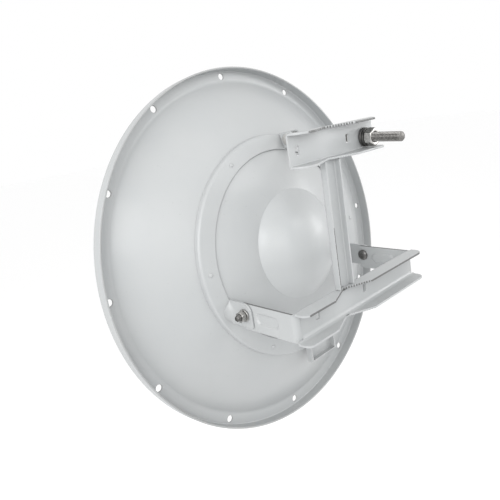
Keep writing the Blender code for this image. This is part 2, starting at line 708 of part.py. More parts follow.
def rod_pin(elevation):
    """Headed pin through the clevis, with its nut."""
    pin = (PIN_Y - PIVOT.y, PIN_Z - PIVOT.z)
    middle = ROD_X - PIVOT.x
    reach = 2 * CLEVIS_HALF_WIDTH + PIN_THREAD_END
    bolt = [
        (0, reach),
        (PIN_RADIUS - PIVOT_CHAMFER, reach),
        (PIN_RADIUS, reach - PIVOT_CHAMFER),
        (PIN_RADIUS, -GAP),
        (PIN_HEAD_RADIUS, -GAP),
        (PIN_HEAD_RADIUS, -GAP - PIN_HEAD_HEIGHT * 0.8),
        (PIN_HEAD_RADIUS - 0.001, -GAP - PIN_HEAD_HEIGHT),
        (0, -GAP - PIN_HEAD_HEIGHT),
    ]
    make_object("rod_pin", lambda shape: turned(shape, bolt, 16), BRIGHT, elevation,
                location=(middle - CLEVIS_HALF_WIDTH, pin[0], pin[1]), rotation=(0, math.pi / 2, 0))
    start = middle + CLEVIS_HALF_WIDTH + GAP

    def nut(shape):
        prism(shape, hexagon(pin, PIN_NUT_ACROSS_FLATS), "X", start, start + PIN_NUT_HEIGHT)

    def bore(shape):
        prism(shape, circle(pin, PIN_BORE, 16), "X", start - 0.001, start + PIN_NUT_HEIGHT + 0.001)

    cut(make_object("rod_pin_nut", nut, BRIGHT, elevation), bore)


def adjuster_rod(rod):
    """Threaded rod with its eye, drawn along +Z from the pin towards the rear tip."""
    length = (PIN_Y - ROD_TIP_Y) / math.cos(ROD_SLOPE)
    stem = [
        (0, length),
        (ROD_RADIUS - ROD_CHAMFER, length),
        (ROD_RADIUS, length - ROD_CHAMFER),
        (ROD_RADIUS, EYE_RADIUS * 0.6),
        (0, EYE_RADIUS * 0.6),
    ]
    item = make_object("adjuster_rod", lambda shape: turned(shape, stem, 20), BRIGHT, rod)
    half = EYE_WIDTH / 2

    def eye(shape):
        prism(shape, circle((0, 0), EYE_RADIUS, 24), "X", -half, half)

    def bore(shape):
        prism(shape, circle((0, 0), PIN_BORE, 16), "X", -half - 0.001, half + 0.001)

    tool = cut(item, eye)
    tool.name = "adjuster_rod_eye"
    item.modifiers[-1].name = "Eye"
    item.modifiers[-1].operation = "UNION"
    cut(item, bore)


def ring_piece(name, finish, parent, outline, inner, outer, low, high):
    """Washer or nut round the rod, from low to high along it."""
    def body(shape):
        prism(shape, outline(outer), "Z", low, high)

    def bore(shape):
        prism(shape, circle((0, 0), inner, 20), "Z", low - 0.001, high + 0.001)

    cut(make_object(name, body, finish, parent), bore)


def rod_nuts(nuts):
    """Nuts and washers that grip the upper channel's web from both sides."""
    web_rear = PIN_Y / math.cos(ROD_SLOPE)
    web_front = (PIN_Y - SHEET) / math.cos(ROD_SLOPE)

    def disc(radius):
        return circle((0, 0), radius, 28)

    def hexagonal(across_flats):
        return hexagon((0, 0), across_flats)

    stack = web_rear + OUTER_WEB_CLEARANCE
    ring_piece("outer_washer", DARK, nuts, disc, ROD_BORE, OUTER_WASHER_RADIUS,
               stack, stack + OUTER_WASHER_THICKNESS)
    stack += OUTER_WASHER_THICKNESS + GAP
    ring_piece("spring_washer", DARK, nuts, disc, ROD_BORE, SPRING_WASHER_RADIUS,
               stack, stack + SPRING_WASHER_THICKNESS)
    stack += SPRING_WASHER_THICKNESS + GAP
    ring_piece("outer_nut", BRIGHT, nuts, hexagonal, ROD_BORE, NUT_ACROSS_FLATS, stack, stack + NUT_HEIGHT)
    stack = web_front - INNER_WEB_CLEARANCE
    ring_piece("inner_washer", DARK, nuts, disc, ROD_BORE, OUTER_WASHER_RADIUS,
               stack - OUTER_WASHER_THICKNESS, stack)
    stack -= OUTER_WASHER_THICKNESS + GAP
    ring_piece("inner_nut", BRIGHT, nuts, hexagonal, ROD_BORE, NUT_ACROSS_FLATS, stack - NUT_HEIGHT, stack)


def build():
    clear_scene()
    yoke()
    upper_channel()
    post_channel()
    pivot_hardware()
    elevation = make_empty("elevation_axis", PIVOT)
    dish = make_empty("dish_frame", DISH_CENTRE - PIVOT, (-math.pi / 2 - DISH_TILT, 0, 0), elevation)
    reflector(dish)
    mounting_ring(dish)
    rivets(dish)
    rear_cover(dish)
    feed(dish)
    lugs(elevation)
    top_clevis(elevation)
    bottom_clevis(dish)
    rod_pin(elevation)
    pin = Vector((ROD_X, PIN_Y, PIN_Z))
    rod = make_empty("rod_swivel_axis", pin - PIVOT, (math.pi / 2 + ROD_SLOPE, 0, 0), elevation)
    adjuster_rod(rod)
    nuts = make_empty("nut_travel_axis", (0, 0, 0), (0, 0, 0), rod)
    rod_nuts(nuts)


build()
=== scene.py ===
import json
import math

import bmesh
import bpy
from bpy.props import FloatProperty, FloatVectorProperty, IntProperty, PointerProperty
from mathutils import Matrix, Vector

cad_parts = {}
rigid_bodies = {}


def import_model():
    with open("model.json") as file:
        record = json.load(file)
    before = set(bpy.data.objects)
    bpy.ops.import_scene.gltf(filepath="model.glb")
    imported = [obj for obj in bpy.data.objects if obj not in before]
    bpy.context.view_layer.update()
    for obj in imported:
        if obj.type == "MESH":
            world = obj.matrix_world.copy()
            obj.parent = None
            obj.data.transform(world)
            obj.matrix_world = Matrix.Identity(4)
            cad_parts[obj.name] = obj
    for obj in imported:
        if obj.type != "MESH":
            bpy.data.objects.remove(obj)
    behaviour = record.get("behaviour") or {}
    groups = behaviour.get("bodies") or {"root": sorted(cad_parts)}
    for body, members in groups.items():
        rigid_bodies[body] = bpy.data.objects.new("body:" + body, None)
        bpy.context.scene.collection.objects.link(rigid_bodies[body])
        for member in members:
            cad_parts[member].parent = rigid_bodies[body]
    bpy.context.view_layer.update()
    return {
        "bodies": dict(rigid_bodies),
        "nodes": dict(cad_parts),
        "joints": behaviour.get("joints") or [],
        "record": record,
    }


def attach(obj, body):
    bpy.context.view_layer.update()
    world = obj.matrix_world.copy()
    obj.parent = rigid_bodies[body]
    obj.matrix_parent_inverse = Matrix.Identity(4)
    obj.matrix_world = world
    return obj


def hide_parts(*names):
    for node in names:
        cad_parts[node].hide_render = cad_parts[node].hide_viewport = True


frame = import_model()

bl_info = {
    "name": "Microwave dish antenna",
    "version": (1, 0, 0),
    "blender": (4, 5, 0),
    "location": "3D View > Sidebar > Dish",
    "description": "Pressed dish on a bent steel bracket, with its pivots and threaded adjuster",
    "category": "Add Mesh",
}

# Places in the frame of the bracket: +Y is the way the dish looks, +Z is up.
DISH_CENTRE = Vector((0.031, 0.142, 0.03725))
DISH_TILT = math.radians(6.26)
PIVOT = Vector((0.031, 0.0652, 0.0015))
PIN = Vector((0.061, 0.0940, 0.1564))
ROD_SLOPE = math.radians(3.0)
ROD_TIP_Y = -0.0438

# Frames that pieces are drawn in, as a place and a turn for finishes and as matrices for shapes.
DISH_FRAME = (DISH_CENTRE, (-math.pi / 2 - DISH_TILT, 0, 0))
ROD_FRAME = (PIN, (math.pi / 2 + ROD_SLOPE, 0, 0))
IN_DISH = Matrix.Translation(DISH_CENTRE) @ Matrix.Rotation(-math.pi / 2 - DISH_TILT, 4, "X")
ON_PIVOT = Matrix.Translation(PIVOT)
ON_ROD = Matrix.Translation(PIN) @ Matrix.Rotation(math.pi / 2 + ROD_SLOPE, 4, "X")

# Bracket.
GAP = 0.0003
FLANGE_BACK = -0.0158
YOKE_LEFT, YOKE_RIGHT = -0.069, 0.131
YOKE_BEND, YOKE_INNER_BEND = 0.006, 0.0042
YOKE_FLANGE_LEFT, YOKE_FLANGE_RIGHT = -0.0712, 0.128
YOKE_FLANGE_CORNERS = (0.007, 0.009)
YOKE_RELIEF, RELIEF_CORNER, RELIEF_SIDE = -0.0012, 0.001, 0.0002
ARM_TOP, ARM_BOTTOM, ARM_CORNER, ARM_ROOT = 0.0127, -0.0158, 0.003, 0.0004
BEAD_START, BEAD_END, BEAD_CORNER, BEAD_FLARE = 0.024, 0.051, 0.0043, 0.0016
BEAD_CENTRE, BEAD_HALF_HEIGHT = -0.0006, 0.0044
NOTCH_CENTRE, NOTCH_BOTTOM = -0.0005, -0.0032
YOKE_SLOTS = ((-0.0392, 0.0015), (0.0362, 0.0015))
UPPER_LEFT, UPPER_RIGHT, UPPER_CORNERS = -0.0483, 0.0772, (0.013, 0.008)
UPPER_BOTTOM, UPPER_TOP = 0.1388, 0.1695
UPPER_TOP_CUT = ((0.0792, 0.0007), (0.0792, -0.0200), (0.0565, -0.0200))
UPPER_SLOTS = ((-0.0375, 0.1538), (0.0353, 0.1538))
STRAP_SLOT_CORNER = 0.0005
ROD_SLOT_WIDTH, ROD_SLOT_BOTTOM, ROD_SLOT_TOP = 0.0115, 0.1434, 0.1594
POST_LEFT, POST_RIGHT, POST_BACK = -0.0094, 0.013, -0.006
CHANNEL_SPACING = 0.1541
# How dark and how strong the bracket's dark cut edges are: painted shade over bare steel.
EDGE_SHADE_TONE, EDGE_SHARE = 0.26, 0.95
OVERCUT, WEB_CUT, ARM_CUT = 0.01, (-0.002, 0.004), 0.005

# Reflector, ring and what stands on it.
THROAT_RADIUS, BRINK, HOLE_EDGE = 0.0110, 0.0045, 0.00035
RING_CONE_SLOPE, RING_SEAT_INSET = 0.22, 0.0022
RIVET_CIRCLE_RADIUS = 0.115
RIVET_ANGLES = (30, 90, 150, 210, 270, 330)
RIVET_HEAD_RADIUS, RIVET_STEM_RADIUS, RIVET_RISE = 0.0022, 0.0015, 0.0009
RIVET_DOME = ((0, 1), (0.55, 0.92), (0.92, 0.45), (1, 0))
COVER_EDGE_SHARE = 0.955
EAR_RADIUS = 0.009
LUG_TOP, LUG_BOTTOM, LUG_BACK, LUG_CORNER = 0.0117, -0.0133, -0.0092, 0.0025
LUG_FOOT, LUG_CUTS = (0.0300, 0.0490), 14
LUG_FLARE, LUG_FADE = 0.0075, 0.0105
CLEVIS_HALF_WIDTH = 0.0075
CLEVIS_FOOT = (0.1045, 0.1215)
SPARE_LEFT, SPARE_RIGHT = -0.0095, 0.033
SPARE_TOP, SPARE_LOW, SPARE_END = 0.1060, 0.1215, 0.1395
SPARE_END_HEIGHT, SPARE_DEPTH, SPARE_CORNER = -0.0475, 0.0080, 0.003

# Fasteners, and the turn that points a hexagon's flat or corner along its own X.
PIVOT_BORE = 0.0033
PIVOT_HEAD_RADIUS, PIVOT_HEAD_HEIGHT = 0.0065, 0.0035
PIVOT_DOME = ((0.97, 0.40), (0.86, 0.66), (0.62, 0.88), (0.30, 0.98), (0, 1))
PIVOT_WASHER_RADIUS, PIVOT_WASHER_THICKNESS = 0.0063, 0.0016
PIVOT_NUT_ACROSS_FLATS, PIVOT_NUT_HEIGHT, PIVOT_NUT_CHAMFER = 0.010, 0.005, 0.0003
PIVOT_THREAD_END, BOLT_TIP = 0.0112, 0.0008
PIN_RADIUS, PIN_BORE = 0.0035, 0.0038
PIN_HEAD_RADIUS, PIN_HEAD_HEIGHT = 0.0060, 0.003
PIN_THREAD_END = 0.0080
PIN_NUT_ACROSS_FLATS, PIN_NUT_HEIGHT, PIN_NUT_CHAMFER = 0.011, 0.0055, 0.0004
EYE_RADIUS, EYE_WIDTH, ROD_NECK_END = 0.0072, 0.0104, 0.0150
ROD_BORE, ROD_NUT_CHAMFER = 0.0051, 0.0009
FLAT_WASHER_RADIUS, FLAT_WASHER_THICKNESS = 0.0095, 0.0022
SPRING_WASHER_RADIUS, SPRING_WASHER_THICKNESS = 0.009, 0.0025
OUTER_WEB_CLEARANCE, INNER_WEB_CLEARANCE = 0.0010, 0.0016
FLAT_ALONG_X, CORNER_ALONG_X = 0, 30

# Feed.
FEED_RADIUS, FEED_WALL = 0.010, 0.0015
FEED_COLLAR_RADIUS, FEED_COLLAR_THICKNESS, FEED_COLLAR_STEP = 0.026, 0.004, 0.0012
FEED_HEAD_RADIUS, FEED_HEAD_THICKNESS = 0.024, 0.010

# Stage: each lamp's name, place and size, and the view of the photograph.
LAMPS = (("key", (-1.15, -0.75, 0.72), 0.7), ("low", (-1.35, -0.35, 0.30), 0.7),
         ("back", (-0.45, -1.45, 0.45), 0.7), ("right", (0.55, -1.10, 1.00), 0.7),
         ("rim", (-1.30, 0.35, 0.60), 0.7), ("side", (1.25, -0.72, 0.30), 0.5))
LAMP_AIM, LAMP_SPREAD = Vector((-0.02, 0.10, 0.08)), math.radians(75)
FLOOR_HALF_WIDTH = 12.0
CAMERA_PLACE, CAMERA_TURN = (-0.3699, -0.3002, 0.19275), (78.1124, 8.5140, -43.8686)
CAMERA_LENS, CAMERA_SENSOR, CAMERA_SHIFT = 37.04, 36.0, (-0.0090, -0.0626)


def length(name, description, default, **more):
    return FloatProperty(name=name, description=description, default=default, min=0.0,
                         precision=4, unit="LENGTH", subtype="DISTANCE", **more)


def colour(name, description, default):
    return FloatVectorProperty(name=name, description=description, default=default, size=3,
                               subtype="COLOR", min=0.0, max=1.0)


def factor(name, description, default):
    return FloatProperty(name=name, description=description, default=default, min=0.0, max=1.0,
                         subtype="FACTOR")


def power(name, description, default):
    return FloatProperty(name=name, description=description, default=default, min=0.0,
                         subtype="POWER", unit="POWER")


class DishSizes(bpy.types.PropertyGroup):
    """Sizes of the pressed dish and of what is fixed to its back"""

    lip_radius: length("Rim radius", "Outside of the lip round the rim", 0.208)
    lip_depth: length("Lip depth", "How far the lip turns back from the flange", 0.0125)
    lip_corner: length("Lip corner", "Rounding where the flange turns into the lip", 0.0024)
    bowl_radius: length("Bowl radius", "Where the bowl meets the flat flange", 0.193)
    bowl_depth: length("Bowl depth", "Depth of the bowl behind the flange", 0.072)
    sheet: length("Sheet", "Thickness of the pressed sheet", 0.002)
    hole_circle: length("Hole circle", "Radius of the circle of rim holes", 0.200)
    hole_radius: length("Hole radius", "Radius of a rim hole", 0.0036)
    hole_count: IntProperty(name="Holes", description="Number of rim holes", default=12, min=3,
                            max=36)
    ring_inner: length("Ring inside", "Inner radius of the mounting ring", 0.1056)
    ring_outer: length("Ring outside", "Outer radius of the mounting ring", 0.124)
    ring_rise: length("Ring rise", "Height of the ring's inner edge over the bowl", 0.002)
    cover_radius: length("Cover radius", "Radius of the domed cover's foot", 0.060)
    cover_height: length("Cover height", "Height of the dome over its foot", 0.027)


class BracketSizes(bpy.types.PropertyGroup):
    """Sizes of the bent sheet bracket"""

    sheet: length("Sheet", "Thickness of the bent sheet", 0.002)
    bend: length("Bend", "Outer radius of the channels' bends", 0.003)
    edge: length("Edge", "Rounding that the paint gives the cut edges", 0.0004)
    yoke_half_height: length("Yoke half height", "Half the height of the lower channel", 0.0151)
    arm_end: length("Arm end", "Where the yoke's arms end in front of the web", 0.0705)
    bead_depth: length("Bead depth", "Depth of the bead pressed in each arm", 0.0016)
    notch_half_width: length("Notch half width", "Half the mouth of the pole notch", 0.029)
    tooth_pitch: length("Tooth pitch", "Spacing of the teeth in the notch", 0.0027)
    tooth_depth: length("Tooth depth", "Depth of the teeth in the notch", 0.0010)
    slot_width: length("Slot width", "Width of a strap slot", 0.005)
    slot_height: length("Slot height", "Height of a strap slot", 0.008)


class FastenerSizes(bpy.types.PropertyGroup):
    """Sizes of the rod, bolts, nuts and washers"""

    rod_radius: length("Rod radius", "Outer radius of the rod's thread", 0.0048)
    rod_pitch: length("Rod pitch", "Pitch of the rod's thread", 0.0015)
    rod_chamfer: length("Rod chamfer", "Chamfer on the rod's tip", 0.0013)
    nut_across_flats: length("Nut width", "Width across flats of the rod's nuts", 0.016)
    nut_height: length("Nut height", "Height of the rod's nuts", 0.008)
    bolt_radius: length("Bolt radius", "Outer radius of the pivot bolts", 0.003)
    bolt_pitch: length("Bolt pitch", "Pitch of the pivot bolts", 0.001)
    thread_steps: IntProperty(name="Thread steps", description="Facets in one turn of a thread",
                              default=20, min=8, max=64)


class FinishSettings(bpy.types.PropertyGroup):
    """Colours and textures of the finishes"""

    paint: colour("Paint", "Powder coat on the dish and the bracket", (0.374, 0.385, 0.388))
    cover_paint: colour("Cover paint", "Powder coat on the domed cover", (0.410, 0.423, 0.427))
    steel: colour("Steel", "Bright stainless steel", (0.38, 0.375, 0.365))
    dark_steel: colour("Dark steel", "Darkened steel", (0.17, 0.168, 0.165))
    feed_metal: colour("Feed metal", "Aluminium of the feed", (0.62, 0.63, 0.64))
    feed_plastic: colour("Feed plastic", "Plastic of the feed's head", (0.78, 0.78, 0.76))
    grain: factor("Orange peel", "Strength of the powder coat's fine relief", 0.16)
    age: factor("Age", "How much dust and wear the finishes show", 0.5)


class StageSettings(bpy.types.PropertyGroup):
    """Floor, light and camera"""

    floor: colour("Floor", "Colour of the floor", (0.99, 0.99, 0.99))
    floor_drop: length("Floor drop", "How far the floor lies under the bracket", 0.62)
    sky: FloatProperty(name="Sky", description="Strength of the light from all round", default=1.0,
                       min=0.0)
    key: power("Key", "Power of the light high on the left", 1.7)
    low: power("Low", "Power of the light low on the left", 0.75)
    back: power("Back", "Power of the light over the camera", 0.6)
    right: power("Right", "Power of the light high on the right", 0.95)
    rim: power("Rim", "Power of the light on the rim's left", 1.0)
    side: power("Side", "Power of the small light on the right", 0.9)


# ---- finishes

def pick(sockets, key):
    """A socket by its number, its identifier or its name."""
    if isinstance(key, int):
        return sockets[key]
    return next(socket for socket in sockets if key in (socket.identifier, socket.name))


class Wire:
    """A value on its way through a finish, which takes part in sums."""

    def __init__(self, finish, socket):
        self.finish = finish
        self.socket = socket

    def maths(self, operation, *others):
        return self.finish.node("ShaderNodeMath", {"operation": operation},
                                dict(enumerate((self, *others))))

    def __add__(self, other):
        return self.maths("ADD", other)

    __radd__ = __add__

    def __sub__(self, other):
        return self.maths("SUBTRACT", other)

    def __mul__(self, other):
        return self.maths("MULTIPLY", other)

    def step(self, low, high, bottom=0.0, top=1.0):
        """Smooth step from bottom at low to top at high."""
        return self.finish.node("ShaderNodeMapRange", {"interpolation_type": "SMOOTHSTEP"},
                                {"Value": self, "From Min": low, "From Max": high,
                                 "To Min": bottom, "To Max": top})


class Finish:
    """A material and the nodes that make it up."""

    def __init__(self, name, roughness, metallic, coat=0.0):
        self.material = bpy.data.materials.new(name)
        self.material.use_nodes = True
        self.tree = self.material.node_tree
        self.shader = self.tree.nodes["Principled BSDF"]
        self.shader.inputs["Roughness"].default_value = roughness
        self.shader.inputs["Metallic"].default_value = metallic
        self.shader.inputs["Coat Weight"].default_value = coat
        self.shader.inputs["Coat Roughness"].default_value = 0.12

    def feed(self, socket, value):
        if isinstance(value, Wire):
            self.tree.links.new(value.socket, socket)
        else:
            socket.default_value = value

    def node(self, kind, settings=None, inputs=None, output=0):
        """A new node: its settings first, then its sockets; gives back one output."""
        node = self.tree.nodes.new(kind)
        for key, value in (settings or {}).items():
            setattr(node, key, value)
        for key, value in (inputs or {}).items():
            self.feed(pick(node.inputs, key), value)
        return Wire(self, pick(node.outputs, output))

    def place(self, location=(0, 0, 0), rotation=(0, 0, 0), scale=(1, 1, 1)):
        """Object coordinates as seen from a frame of their own, then stretched."""
        spot = self.node("ShaderNodeTexCoord", output="Object")
        spot = self.node("ShaderNodeMapping", {"vector_type": "TEXTURE"},
                         {"Vector": spot, "Location": location, "Rotation": rotation})
        return self.node("ShaderNodeVectorMath", {"operation": "MULTIPLY"}, {0: spot, 1: scale})

    def noise(self, spot, scale, detail=2.0, roughness=0.5, distortion=0.0):
        return self.node("ShaderNodeTexNoise", {"noise_dimensions": "3D"},
                         {"Vector": spot, "Scale": scale, "Detail": detail,
                          "Roughness": roughness, "Distortion": distortion}, "Fac")

    def split(self, spot):
        """The x, y and z of a place or a direction."""
        outputs = self.node("ShaderNodeSeparateXYZ", None, {0: spot}).socket.node.outputs
        return [Wire(self, socket) for socket in outputs]

    def radius(self, spot):
        """How far a place lies from its own Z axis."""
        flat = self.node("ShaderNodeVectorMath", {"operation": "MULTIPLY"}, {0: spot, 1: (1, 1, 0)})
        return self.node("ShaderNodeVectorMath", {"operation": "LENGTH"}, {0: flat}, "Value")

    def mix(self, factor, first, second):
        return self.node("ShaderNodeMix", {"data_type": "RGBA"},
                         {"Factor_Float": factor, "A_Color": first, "B_Color": second},
                         "Result_Color")

    def relief(self, height, strength, distance, under=None):
        sockets = {"Height": height, "Strength": strength, "Distance": distance}
        if under is not None:
            sockets["Normal"] = under
        return self.node("ShaderNodeBump", None, sockets)

    def finish(self, base, roughness=None, normal=None):
        self.feed(self.shader.inputs["Base Color"], base)
        if roughness is not None:
            self.feed(self.shader.inputs["Roughness"], roughness)
        if normal is not None:
            self.feed(self.shader.inputs["Normal"], normal)
        return self.material


def shade(tone, factor, warmth=0.0):
    """A colour made lighter or darker, and a little warmer."""
    red, green, blue = tone
    return (min(1, red * factor * (1 + warmth)), min(1, green * factor),
            min(1, blue * factor * (1 - warmth)), 1)


def powder_coat(name, tone, settings, wear=None, worn_and_shaded_tone=0.66, share=0.5):
    """Semi-gloss powder coat: orange peel, faint clouds, dust on what looks up, and darkened edges,
    which are worn paint on the rim and painted shade with bare steel on the bracket's cut edges.
    """
    finish = Finish(name, 0.36, 0.0, coat=0.10)
    spot = finish.place()
    clouds = finish.noise(spot, 11.0, 4.0, 0.55)
    peel = finish.noise(spot, 950.0, 1.5, 0.45)
    ripple = finish.noise(spot, 210.0, 2.0, 0.5)
    specks = finish.noise(spot, 520.0, 1.0).step(0.735, 0.80)
    drips = finish.noise(finish.place(scale=(1.0, 1.0, 0.12)), 70.0, 3.0, 0.6).step(0.52, 0.78)
    normal = finish.node("ShaderNodeTexCoord", output="Normal")
    dust = finish.split(normal)[2].step(0.15, 0.95) * (0.35 + clouds) * settings.age
    base = finish.mix(clouds.step(0.3, 0.7), shade(tone, 0.982, -0.004), shade(tone, 1.018, 0.002))
    base = finish.mix(drips * (0.10 * settings.age), base, shade(tone, 0.80, 0.012))
    base = finish.mix(dust * 0.30, base, shade(tone, 0.93, 0.025))
    base = finish.mix(specks * (0.55 * settings.age), base, shade(tone, 0.55, 0.03))
    rough = 0.33 + clouds * 0.08 + ripple * 0.04 + dust * 0.22
    # Darkened edges: paint wear round the rim, painted shade over bare steel along the bracket's
    # cut edges.
    if wear is not None:
        ragged = (wear(finish) * 1.1 + finish.noise(spot, 330.0, 3.0, 0.65) - 0.5).step(0.62, 0.86)
        base = finish.mix(ragged * (2 * share * settings.age), base, shade(tone, worn_and_shaded_tone, 0.02))
        rough = rough + ragged * 0.16
    bump = finish.relief(peel, settings.grain, 0.00022)
    bump = finish.relief(ripple, settings.grain * 0.6, 0.0005, bump)
    return finish.finish(base, rough, bump)


def rim_wear(sizes):
    """Paint rubbed thin round the rim holes and along the lip's edge, in the frame of the dish."""
    def wear(finish):
        spot = finish.place(*DISH_FRAME)
        x, y, z = finish.split(spot)
        out = finish.radius(spot)
        share = x.maths("ARCTAN2", y) * (sizes.hole_count / math.tau)
        share = share - share.maths("ROUND")
        along = share * (sizes.hole_circle * math.tau / sizes.hole_count)
        off = out - sizes.hole_circle
        away = (along * along + off * off).maths("SQRT")
        hole = away.step(sizes.hole_radius, sizes.hole_radius + 0.0016, 1.0, 0.0)
        lip = z.step(-sizes.lip_depth, -sizes.lip_depth + 0.0014, 0.9, 0.0) * out.step(0.200, 0.204)
        return hole.maths("MAXIMUM", lip)
    return wear


def edge_wear_and_shade(sizes):
    """Cut edges darkened as bare steel and as painted shade: the flanges' rear edges with their
    teeth, and the top edges of the arms.
    """
    half = sizes.notch_half_width

    def wear(finish):
        x, y, z = finish.split(finish.place())
        level = z.maths("WRAP", CHANNEL_SPACING / 2, -CHANNEL_SPACING / 2)
        # Painted shade: fullest on each channel's upper flange, weaker on the lower flanges and on
        # the upper channel.
        upper = level.step(0.0, 0.008, 0.42, 1.0) * z.step(0.05, 0.10, 1.0, 0.82)
        rear = y.step(FLANGE_BACK + 0.0001, FLANGE_BACK + 0.0007, 1.0, 0.0)
        span = (x - NOTCH_CENTRE).maths("ABSOLUTE")
        line = span * ((FLANGE_BACK - NOTCH_BOTTOM) / half) + NOTCH_BOTTOM
        teeth = (y - line).step(0.0004, 0.0014, 1.0, 0.0)
        teeth = teeth * span.step(half - 0.0005, half + 0.0002, 1.0, 0.0)
        # Painted shade along the top cut edges of the arms only.
        arm = z.step(ARM_TOP - 0.0007, ARM_TOP - 0.0002)
        arm = arm * z.step(ARM_TOP + 0.0002, ARM_TOP + 0.0007, 1.0, 0.0)
        arm = arm * y.step(YOKE_BEND * 0.5, YOKE_BEND * 0.7)
        return (rear.maths("MAXIMUM", teeth) * upper).maths("MAXIMUM", arm)
    return wear


def worn_steel(name, tone, settings, roughness, frame, streaks, thread=None):
    """Bare steel with machining streaks, smears, and colour darker towards a thread's root."""
    finish = Finish(name, roughness, 1.0)
    spot = finish.place(*frame)
    lines = finish.noise(finish.place(*frame, streaks), 900.0, 2.0, 0.6)
    smears = finish.noise(spot, 160.0, 4.0, 0.6, 0.4)
    pits = finish.noise(spot, 1500.0, 1.0).step(0.66, 0.74)
    base = finish.mix(smears.step(0.3, 0.7), shade(tone, 0.86, 0.01), shade(tone, 1.12))
    base = finish.mix(pits * (0.5 * settings.age), base, shade(tone, 0.5, 0.05))
    rough = roughness - 0.08 + smears * 0.16 + lines * 0.08
    if thread is not None:
        root_darkening = finish.radius(spot).step(*thread, 1.0, 0.0)
        base = finish.mix(root_darkening * 0.45, base, shade(tone, 0.4, 0.04))
        rough = rough + root_darkening * 0.2
    bump = finish.relief(lines, 0.14, 0.0001)
    bump = finish.relief(pits, 0.2, -0.0001, bump)
    return finish.finish(base, rough, bump)


def moulded_plastic(name, tone, settings):
    finish = Finish(name, 0.45, 0.0)
    spot = finish.place()
    clouds = finish.noise(spot, 24.0, 4.0)
    grain = finish.noise(spot, 1300.0, 2.0, 0.6)
    base = finish.mix(clouds.step(0.3, 0.7), shade(tone, 0.97, 0.01), shade(tone, 1.02))
    specks = finish.noise(spot, 480.0, 1.0).step(0.73, 0.8)
    base = finish.mix(specks * (0.5 * settings.age), base, shade(tone, 0.6))
    return finish.finish(base, 0.40 + clouds * 0.12, finish.relief(grain, 0.2, 0.0002))


# ---- shaping

ABOUT_Z = {"cent": (0, 0, 0), "axis": (0, 0, 1)}
PLANES = {
    "XY": lambda u, v, w: (u, v, w),
    "XZ": lambda u, v, w: (u, w, v),
    "YZ": lambda u, v, w: (w, u, v),
}


def spread(low, high, count):
    return [low + (high - low) * index / (count - 1) for index in range(count)]


def arc(centre, radius, start, end, steps):
    """Points round a centre from one angle to another, in degrees."""
    turns = [math.radians(angle) for angle in spread(start, end, steps + 1)]
    return [(centre[0] + radius * math.cos(turn), centre[1] + radius * math.sin(turn))
            for turn in turns]


def dome(radius, rise, level, profile):
    """Outline of a head that rises from a level, given as shares of its radius and rise."""
    return [(radius * out, level - rise * up) for out, up in profile]


def box(u_low, u_high, v_low, v_high, corner):
    """Outline of a rectangle with all its corners rounded alike."""
    return [(u_low, v_low, corner), (u_high, v_low, corner), (u_high, v_high, corner),
            (u_low, v_high, corner)]


def everything(shape):
    return list(shape.verts) + list(shape.edges) + list(shape.faces)


def outline(shape, corners, plane, level=0.0, arc_steps=6):
    """Face from corners (u, v) or (u, v, radius), each radius rounded by a bevel of its corner."""
    place = PLANES[plane]
    verts = [shape.verts.new(place(corner[0], corner[1], level)) for corner in corners]
    shape.faces.new(verts)
    for index, (corner, vert) in enumerate(zip(corners, verts)):
        if len(corner) < 3:
            continue
        point = Vector(corner[:2])
        before = Vector(corners[index - 1][:2]) - point
        after = Vector(corners[(index + 1) % len(corners)][:2]) - point
        reach = corner[2] / math.tan(before.angle(after) / 2)
        bmesh.ops.bevel(shape, geom=[vert], offset=reach, offset_type="OFFSET", segments=arc_steps,
                        profile=0.5, affect="VERTICES", material=-1)


def raised(shape, way):
    """Flat shape extruded along way into a closed one."""
    made = bmesh.ops.extrude_face_region(shape, geom=list(shape.faces))["geom"]
    moved = [part for part in made if isinstance(part, bmesh.types.BMVert)]
    bmesh.ops.translate(shape, verts=moved, vec=way)
    return shape


def slab(corners, plane, low, high, arc_steps=6):
    """Closed plate: an outline drawn at low and extruded to high."""
    shape = bmesh.new()
    outline(shape, corners, plane, low, arc_steps)
    return raised(shape, Vector(PLANES[plane](0, 0, high - low)))


def turned(corners, segments=96, arc_steps=5):
    """Closed outline (radius, height) turned round the Z axis."""
    shape = bmesh.new()
    outline(shape, corners, "XZ", 0.0, arc_steps)
    bmesh.ops.delete(shape, geom=list(shape.faces), context="FACES_ONLY")
    bmesh.ops.spin(shape, geom=everything(shape), **ABOUT_Z, dvec=(0, 0, 0), angle=math.tau,
                   steps=segments, use_merge=True)
    bmesh.ops.remove_doubles(shape, verts=shape.verts, dist=1e-6)
    loose = [edge for edge in shape.edges if not edge.link_faces]
    bmesh.ops.delete(shape, geom=loose, context="EDGES")
    return shape


def drum(radius, low, high, sides=32, centre=(0, 0), plane="XY"):
    """Closed round bar, or a hexagonal one with six sides and corners on the second axis."""
    shape = bmesh.new()
    bmesh.ops.create_circle(shape, cap_ends=True, radius=radius, segments=sides)
    raised(shape, (0, 0, high - low))
    bmesh.ops.translate(shape, verts=shape.verts, vec=(centre[0], centre[1], low))
    if plane == "YZ":
        shift = Matrix(((0, 0, 1, 0), (1, 0, 0, 0), (0, 1, 0, 0), (0, 0, 0, 1)))
        bmesh.ops.transform(shape, matrix=shift, verts=shape.verts)
    return shape


def joined(*shapes):
    """Several shapes as one, each left closed."""
    whole = bmesh.new()
    draft = bpy.data.meshes.new("draft")
    for shape in shapes:
        bmesh.ops.recalc_face_normals(shape, faces=shape.faces)
        shape.to_mesh(draft)
        shape.free()
        whole.from_mesh(draft)
    bpy.data.meshes.remove(draft)
    return whole


